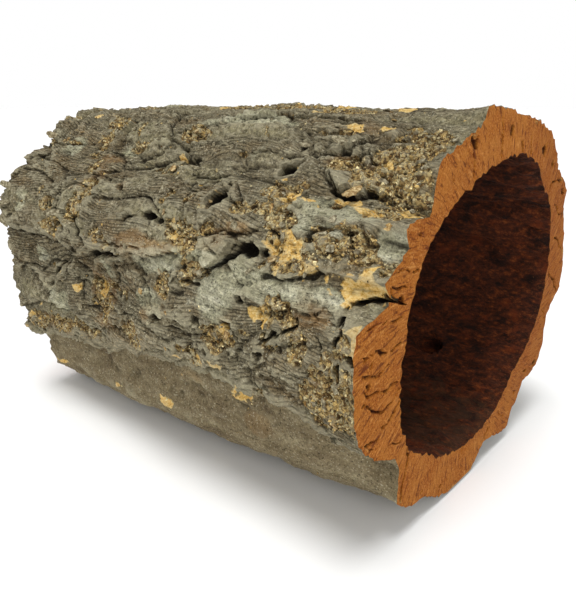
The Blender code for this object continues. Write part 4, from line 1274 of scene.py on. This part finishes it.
    # The younger band is smoother and more even
    young = add_node(tree, "ValToRGB", {"Fac": middle, "stops": (
        (0.3, "#695942"), (0.45, "#837456"), (0.58, "#8F8163"), (0.75, "#A89B79"))})
    mild = add_node(tree, "MapRange", {
        "Value": grit, "From Min": 0.36, "From Max": 0.64, "To Min": 0.72, "To Max": 1.3})
    young = add_node(tree, "VectorMath", {
        "operation": "SCALE", 0: young.outputs["Color"], "Scale": mild.outputs["Result"]})
    band_share = add_node(tree, "Math", {"operation": "MULTIPLY", 0: band, 1: 0.92}).outputs[0]
    colour = add_node(tree, "Mix", {
        "data_type": "RGBA", 0: band_share, 6: colour, 7: young.outputs["Vector"]}).outputs[2]
    patch = add_node(tree, "MapRange", {
        "interpolation_type": "SMOOTHSTEP", "Value": stained, "From Min": 0.4, "From Max": 1.0,
        "To Max": 0.35})
    colour = add_node(tree, "Mix", {
        "data_type": "RGBA", 0: patch.outputs["Result"], 6: colour,
        7: stain.outputs["Color"]}).outputs[2]

    # Dark pores and pale flecks
    flecked = add_node(tree, "Math", {"operation": "MULTIPLY_ADD", 0: blotch, 1: 0.3, 2: speck})
    flecked = flecked.outputs[0]
    shaded = []
    for low, high, strength, tint in ((0.55, 0.46, 0.7, "#2A2214"), (0.76, 0.84, 0.6, "#D2CBB0")):
        share = add_node(tree, "MapRange", {
            "interpolation_type": "SMOOTHSTEP", "Value": flecked, "From Min": low,
            "From Max": high, "To Max": strength})
        shaded.append(share.outputs["Result"])
        colour = add_node(tree, "Mix", {
            "data_type": "RGBA", 0: share.outputs["Result"], 6: colour,
            7: linear(tint)}).outputs[2]

    # Crumbled bark: angular bits of about 1 mm, each its own tone, with painted shade in the gaps
    # between them
    jitter = add_node(tree, "TexNoise", {
        "Vector": place, "Scale": 1.0 / (1.6 * MM), "Detail": 3.0}).outputs["Color"]
    shaken = add_node(tree, "VectorMath", {
        "operation": "MULTIPLY_ADD", 0: jitter, 1: (0.003, 0.003, 0.003), 2: place})
    cells = add_node(tree, "TexVoronoi", {
        "Vector": shaken.outputs["Vector"], "Scale": 1.0 / (1.1 * MM)})
    pick = add_node(tree, "SeparateColor", {"Color": cells.outputs["Color"]}).outputs["Red"]
    bits = add_node(tree, "ValToRGB", {"Fac": pick, "stops": (
        (0.0, "#3A2711"), (0.18, "#7D5E33"), (0.4, "#B29660"), (0.62, "#D2B271"), (0.8, "#C4B384"),
        (1.0, "#F3E2AE"))})
    # Painted shade in the gaps between the bits
    gap = add_node(tree, "MapRange", {
        "interpolation_type": "SMOOTHSTEP", "Value": cells.outputs["Distance"], "From Min": 0.4,
        "From Max": 0.8, "To Max": 0.75})
    bits = add_node(tree, "Mix", {
        "data_type": "RGBA", 0: gap.outputs["Result"], 6: bits.outputs["Color"],
        7: linear("#2A1D0E")}).outputs[2]
    clean = add_node(tree, "ValToRGB", {"Fac": grit, "stops": (
        (0.34, "#C08A36"), (0.46, "#F2C468"), (0.58, "#FFE29E"))})
    shares = []
    for mark, low, high, strength, layer in (
        (crumb, 0.85, 1.1, 0.88, bits), (fresh, 0.85, 1.15, 0.88, clean.outputs["Color"]),
    ):
        ragged = add_node(tree, "Math", {"operation": "MULTIPLY_ADD", 0: blotch, 1: 0.85, 2: mark})
        share = add_node(tree, "MapRange", {
            "interpolation_type": "SMOOTHSTEP", "Value": ragged.outputs[0], "From Min": low,
            "From Max": high, "To Max": strength})
        shares.append(share.outputs["Result"])
        colour = add_node(tree, "Mix", {
            "data_type": "RGBA", 0: share.outputs["Result"], 6: colour, 7: layer}).outputs[2]

    # Painted shade in the hollows and in the pits, and a painted highlight on the proud parts
    for source, low, high, strength, tint in (
        (cavity, -0.1, -1.2, 0.75, "#1F180D"), (pit, 0.25, 0.8, 0.85, "#171009"),
        (cavity, 0.15, 0.9, 0.42, "#C2BA9C"),
    ):
        share = add_node(tree, "MapRange", {
            "interpolation_type": "SMOOTHSTEP", "Value": source, "From Min": low,
            "From Max": high, "To Max": strength})
        colour = add_node(tree, "Mix", {
            "data_type": "RGBA", 0: share.outputs["Result"], 6: colour,
            7: linear(tint)}).outputs[2]

    height = add_node(tree, "Math", {"operation": "MULTIPLY", 0: grit, 1: 1.5}).outputs[0]
    for source, amount in ((shaded[0], -0.6), (lines, -0.5)):
        height = add_node(tree, "Math", {
            "operation": "MULTIPLY_ADD", 0: source, 1: amount, 2: height}).outputs[0]
    rough_bits = add_node(tree, "Math", {
        "operation": "MULTIPLY", 0: shares[0], 1: cells.outputs["Distance"]}).outputs[0]
    height = add_node(tree, "Math", {
        "operation": "MULTIPLY_ADD", 0: rough_bits, 1: -1.2, 2: height}).outputs[0]
    finish_material(tree, colour, height, 0.92, 0.2, 1.0, 1.0)
    return material


def broken_cork():
    """Clean cork broken out of the bark: dry matt crumbs from dark brown through ochre to cream."""
    material, tree, place = new_material("broken_cork")
    tint = add_node(tree, "Attribute", {"attribute_name": "tint"}).outputs["Fac"]
    grit = add_node(tree, "TexNoise", {
        "Vector": place, "Scale": 1.0 / (1.1 * MM), "Detail": 3.0, "Roughness": 0.7}).outputs["Fac"]
    base = add_node(tree, "ValToRGB", {"Fac": tint, "stops": (
        (0.0, "#3C2A12"), (0.22, "#7E6136"), (0.45, "#B0965F"), (0.65, "#CFAF6C"), (0.82, "#BFAE80"),
        (1.0, "#F0DFAA"))})
    tone = add_node(tree, "MapRange", {
        "Value": grit, "From Min": 0.36, "From Max": 0.64, "To Min": 0.5, "To Max": 1.45})
    colour = add_node(tree, "VectorMath", {
        "operation": "SCALE", 0: base.outputs["Color"], "Scale": tone.outputs["Result"]})
    finish_material(tree, colour.outputs["Vector"], grit, 0.9, 0.2, 0.7, 0.4)
    return material


def lifted_scale():
    """Thin scales weathered off the outer bark: dry, matt and grey brown, a few of them ochre."""
    material, tree, place = new_material("lifted_bark_scale")
    tint = add_node(tree, "Attribute", {"attribute_name": "tint"}).outputs["Fac"]
    grit = add_node(tree, "TexNoise", {
        "Vector": place, "Scale": 1.0 / (1.5 * MM), "Detail": 4.0, "Roughness": 0.7}).outputs["Fac"]
    grey = add_node(tree, "ValToRGB", {"Fac": grit, "stops": (
        (0.34, "#443B29"), (0.5, "#7D745C"), (0.66, "#B2AA8F"))})
    ochre = add_node(tree, "ValToRGB", {"Fac": grit, "stops": (
        (0.34, "#6E4E28"), (0.5, "#A98A56"), (0.66, "#DCC693"))})
    share = add_node(tree, "MapRange", {"Value": tint, "From Min": 0.78, "From Max": 0.95})
    colour = add_node(tree, "Mix", {
        "data_type": "RGBA", 0: share.outputs["Result"], 6: grey.outputs["Color"],
        7: ochre.outputs["Color"]})
    finish_material(tree, colour.outputs[2], grit, 0.92, 0.2, 0.8, 0.5)
    return material


def sawn_cork():
    """Cork cut with a saw: dry, open and grainy, so matt and a clear orange brown, paler where the
    outer edge has crumbled, and dark red in its cracks and holes: partly the cork's own colour,
    partly painted shade that deepens with their depth."""
    material, tree, place = new_material("sawn_cork")
    crack, edge = (
        add_node(tree, "Attribute", {"attribute_name": name}).outputs["Fac"]
        for name in ("crack", "edge"))
    centred = add_node(tree, "VectorMath", {"operation": "SUBTRACT", 0: place, 1: FACE_CENTRE})
    part = add_node(tree, "SeparateXYZ", {"Vector": centred.outputs["Vector"]})
    turn = add_node(tree, "Math", {
        "operation": "ARCTAN2", 0: part.outputs["Z"], 1: part.outputs["Y"]}).outputs[0]
    around = add_node(tree, "Math", {"operation": "MULTIPLY", 0: turn, 1: 80.0 * MM}).outputs[0]
    reach = add_node(tree, "VectorMath", {"operation": "LENGTH", 0: centred.outputs["Vector"]})
    inward = add_node(tree, "Math", {"operation": "MULTIPLY", 0: reach.outputs["Value"], 1: 0.25})
    slant = add_node(tree, "Math", {
        "operation": "MULTIPLY_ADD", 0: reach.outputs["Value"], 1: -0.4, 2: around}).outputs[0]
    polar = add_node(tree, "CombineXYZ", {"X": slant, "Y": inward.outputs[0]}).outputs["Vector"]

    # Grain of 0.9 mm, strokes of the saw and of the growth layers across the wall, broad tones
    speck, stroke, broad = (
        add_node(tree, "TexNoise", {
            "Vector": vector, "Scale": 1.0 / (size * MM), "Detail": 4.0, "Roughness": rough,
            "Distortion": twist}).outputs["Fac"]
        for vector, size, rough, twist in (
            (place, 0.9, 0.75, 0.0), (polar, 1.7, 0.65, 0.5), (place, 11.0, 0.6, 0.0)))
    colour = add_node(tree, "ValToRGB", {"Fac": speck, "stops": (
        (0.34, "#5F2E08"), (0.45, "#9A5518"), (0.55, "#AE6922"), (0.68, "#D2944A"))}).outputs["Color"]
    for source, low, high, strength, tint in (
        (broad, 0.42, 0.66, 0.45, "#B97730"), (broad, 0.45, 0.3, 0.4, "#8F4A14"),
        (stroke, 0.47, 0.35, 0.78, "#581F06"), (stroke, 0.56, 0.68, 0.6, "#D2934C"),
        (part.outputs["Y"], 0.02, 0.07, 0.3, "#7E3F10"),
        # crack: the cork's own dark red, deepened into painted shade with the depth of each crack and
        # hole
        (edge, 0.86, 1.0, 0.7, "#D2A862"), (crack, 0.15, 1.4, 0.95, "#3A1505"),
    ):
        share = add_node(tree, "MapRange", {
            "interpolation_type": "SMOOTHSTEP", "Value": source, "From Min": low,
            "From Max": high, "To Max": strength})
        colour = add_node(tree, "Mix", {
            "data_type": "RGBA", 0: share.outputs["Result"], 6: colour,
            7: linear(tint)}).outputs[2]
    height = add_node(tree, "Math", {"operation": "MULTIPLY_ADD", 0: stroke, 1: 1.4, 2: speck})
    finish_material(tree, colour, height.outputs[0], 0.88, 0.15, 1.0, 0.8)
    return material


def inner_bark():
    """Inner face of the bark, torn from the wood: dark red brown, dull and fibrous, with a little
    pale dust towards the sawn end, and greyer and paler along the bottom."""
    material, tree, place = new_material("inner_bark_face")
    along = add_node(tree, "Mapping", {"Vector": place, "Scale": (0.6, 1.0, 1.0)}).outputs["Vector"]
    fibre, patch, grit, dust = (
        add_node(tree, "TexNoise", {
            "Vector": vector, "Scale": 1.0 / (size * MM), "Detail": 4.0, "Roughness": rough,
        }).outputs["Fac"]
        for vector, size, rough in (
            (along, 2.2, 0.75), (along, 9.0, 0.7), (place, 1.2, 0.8), (place, 6.0, 0.75)))
    part = add_node(tree, "SeparateXYZ", {"Vector": place})
    colour = add_node(tree, "ValToRGB", {"Fac": fibre, "stops": (
        (0.3, "#190802"), (0.44, "#3D1A08"), (0.56, "#58270D"), (0.7, "#8E481A"))}).outputs["Color"]
    # Greyer and paler towards the bottom of the bore, taken together with the dust
    low_down = add_node(tree, "MapRange", {
        "Value": part.outputs["Z"], "From Min": 42.0 * MM, "From Max": 22.0 * MM, "To Max": 0.35})
    low_grey_and_dust = add_node(tree, "Math", {
        "operation": "ADD", 0: low_down.outputs["Result"], 1: dust}).outputs[0]
    outer = add_node(tree, "MapRange", {
        "Value": part.outputs["X"], "From Min": 90.0 * MM, "From Max": 124.0 * MM, "To Max": 0.12})
    dusty = add_node(tree, "Math", {
        "operation": "ADD", 0: outer.outputs["Result"], 1: grit}).outputs[0]
    for source, low, high, strength, tint in (
        (patch, 0.54, 0.68, 0.5, "#7A3410"), (patch, 0.48, 0.36, 0.8, "#120703"),
        (low_grey_and_dust, 0.70, 0.90, 0.5, "#4E3420"), (dusty, 0.68, 0.80, 0.6, "#8E5728"),
    ):
        share = add_node(tree, "MapRange", {
            "interpolation_type": "SMOOTHSTEP", "Value": source, "From Min": low,
            "From Max": high, "To Max": strength})
        colour = add_node(tree, "Mix", {
            "data_type": "RGBA", 0: share.outputs["Result"], 6: colour,
            7: linear(tint)}).outputs[2]
    height = add_node(tree, "Math", {"operation": "ADD", 0: fibre, 1: grit})
    finish_material(tree, colour, height.outputs[0], 0.85, 0.25, 1.0, 1.2)
    return material


def paper_floor():
    """Plain pale studio paper."""
    material, tree, _ = new_material("pale_paper")
    shader = add_node(tree, "BsdfPrincipled", {
        "Base Color": linear("#F4F4F3"), "Roughness": 0.95, "Specular IOR Level": 0.0})
    add_node(tree, "OutputMaterial", {"Surface": shader.outputs["BSDF"]})
    return material


class CorkTubeSettings(bpy.types.PropertyGroup):
    """Sizes and light that a user may change."""
    lens: bpy.props.FloatProperty(
        name="Lens", description="Focal length for a 36 mm sensor", default=CAMERA_LENS, min=10.0)
    key_power: bpy.props.FloatProperty(
        name="Key light", description="Strength of the soft light overhead", default=2.3, min=0.0)
    side_power: bpy.props.FloatProperty(
        name="Side light", description="Power of the light on the sawn face", default=5.0,
        unit="POWER")
    sky: bpy.props.FloatProperty(
        name="Sky", description="Brightness of the light from above", default=0.45, min=0.0)
    crumbs: bpy.props.IntProperty(
        name="Crumbs", description="Number of crumbs of bare cork", default=6000, min=0)
    scales: bpy.props.IntProperty(
        name="Scales", description="Number of small lifted scales", default=380, min=0)
    sharp_angle: bpy.props.FloatProperty(
        name="Sharp edges", description="Edges steeper than this stay crisp",
        default=math.radians(42.0), subtype="ANGLE")


class CORK_OT_tube(bpy.types.Operator):
    """Model the bark tube in place of its plain solid"""
    bl_idname = "cork.tube"
    bl_label = "Bark tube"

    def execute(self, context):
        tube = make_tube()
        for material in (weathered_bark(), sawn_cork(), inner_bark()):
            tube.data.materials.append(material)
        set_zones(tube.data)
        tube.data.shade_smooth()
        tube.data.set_sharp_from_angle(angle=context.scene.cork_tube.sharp_angle)
        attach(tube, "root")
        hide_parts(NODE)
        return {"FINISHED"}


class CORK_OT_crumbs(bpy.types.Operator):
    """Scatter crumbs of bare cork over the broken patches"""
    bl_idname = "cork.crumbs"
    bl_label = "Cork crumbs"

    def execute(self, context):
        finish_piece(make_crumbs(context.scene.cork_tube.crumbs), broken_cork())
        return {"FINISHED"}


class CORK_OT_scales(bpy.types.Operator):
    """Lift thin scales of bark along the broken edges"""
    bl_idname = "cork.scales"
    bl_label = "Bark scales"

    def execute(self, context):
        finish_piece(make_scales(context.scene.cork_tube.scales), lifted_scale())
        return {"FINISHED"}


class CORK_OT_stage(bpy.types.Operator):
    """Lay the pale floor and set the light and the camera"""
    bl_idname = "cork.stage"
    bl_label = "Studio"

    def execute(self, context):
        scene = context.scene
        settings = scene.cork_tube
        mesh = bmesh.new()
        bmesh.ops.create_grid(mesh, x_segments=1, y_segments=1, size=6.0)
        data = bpy.data.meshes.new("floor")
        mesh.to_mesh(data)
        mesh.free()
        floor = bpy.data.objects.new("floor", data)
        data.materials.append(paper_floor())
        scene.collection.objects.link(floor)

        world = bpy.data.worlds.new("studio")
        scene.world = world
        world.use_nodes = True
        tree = world.node_tree
        background = tree.nodes["Background"]
        direction = add_node(tree, "TexCoord").outputs["Generated"]
        height = add_node(tree, "SeparateXYZ", {"Vector": direction}).outputs["Z"]
        glow = add_node(tree, "MapRange", {
            "Value": height, "From Min": 0.14, "From Max": 0.45, "To Min": 1.0,
            "To Max": settings.sky})
        tree.links.new(glow.outputs["Result"], background.inputs["Strength"])
        background.inputs["Color"].default_value = (1.0, 1.0, 1.0, 1.0)

        for name, kind, spot, aim, spread_out, power in (
            ("overhead", "SUN", (0.05, -0.2, 1.1), (0, 0, 0.1), math.radians(25), settings.key_power),
            ("side", "AREA", (1.0, -0.9, 0.7), (0.05, 0, 0.08), 0.9, settings.side_power),
        ):
            lamp = bpy.data.lights.new(name, kind)
            setattr(lamp, "angle" if kind == "SUN" else "size", spread_out)
            lamp.energy = power
            light = bpy.data.objects.new(name, lamp)
            light.location = spot
            light.rotation_euler = (Vector(aim) - Vector(spot)).to_track_quat("-Z", "Y").to_euler()
            scene.collection.objects.link(light)

        camera_data = bpy.data.cameras.new("camera")
        camera_data.lens = settings.lens
        camera_data.sensor_width = CAMERA_SENSOR
        camera_data.clip_start = 0.01
        camera = bpy.data.objects.new("camera", camera_data)
        camera.location = Vector(FACE_CENTRE) + Vector(CAMERA_FROM_FACE)
        camera.rotation_euler = Vector(-camera_axes()[2]).to_track_quat("-Z", "Y").to_euler()
        scene.collection.objects.link(camera)
        scene.camera = camera
        scene.view_settings.view_transform = "Standard"
        return {"FINISHED"}


class CORK_PT_panel(bpy.types.Panel):
    """Buttons for each piece"""
    bl_idname = "CORK_PT_panel"
    bl_label = "Cork bark tube"
    bl_space_type = "VIEW_3D"
    bl_region_type = "UI"
    bl_category = "Cork bark"

    def draw(self, context):
        column = self.layout.column()
        for operator in (CORK_OT_tube, CORK_OT_crumbs, CORK_OT_scales, CORK_OT_stage):
            column.operator(operator.bl_idname)


CLASSES = (CorkTubeSettings, CORK_OT_tube, CORK_OT_crumbs, CORK_OT_scales, CORK_OT_stage,
           CORK_PT_panel)


def register():
    """Register the classes and the scene's settings."""
    for item in CLASSES:
        bpy.utils.register_class(item)
    bpy.types.Scene.cork_tube = bpy.props.PointerProperty(type=CorkTubeSettings)


def unregister():
    """Undo register."""
    del bpy.types.Scene.cork_tube
    for item in reversed(CLASSES):
        bpy.utils.unregister_class(item)


def main():
    """Make every piece and the studio."""
    register()
    bpy.ops.cork.tube()
    bpy.ops.cork.crumbs()
    bpy.ops.cork.scales()
    bpy.ops.cork.stage()


if __name__ == "__main__":
    main()
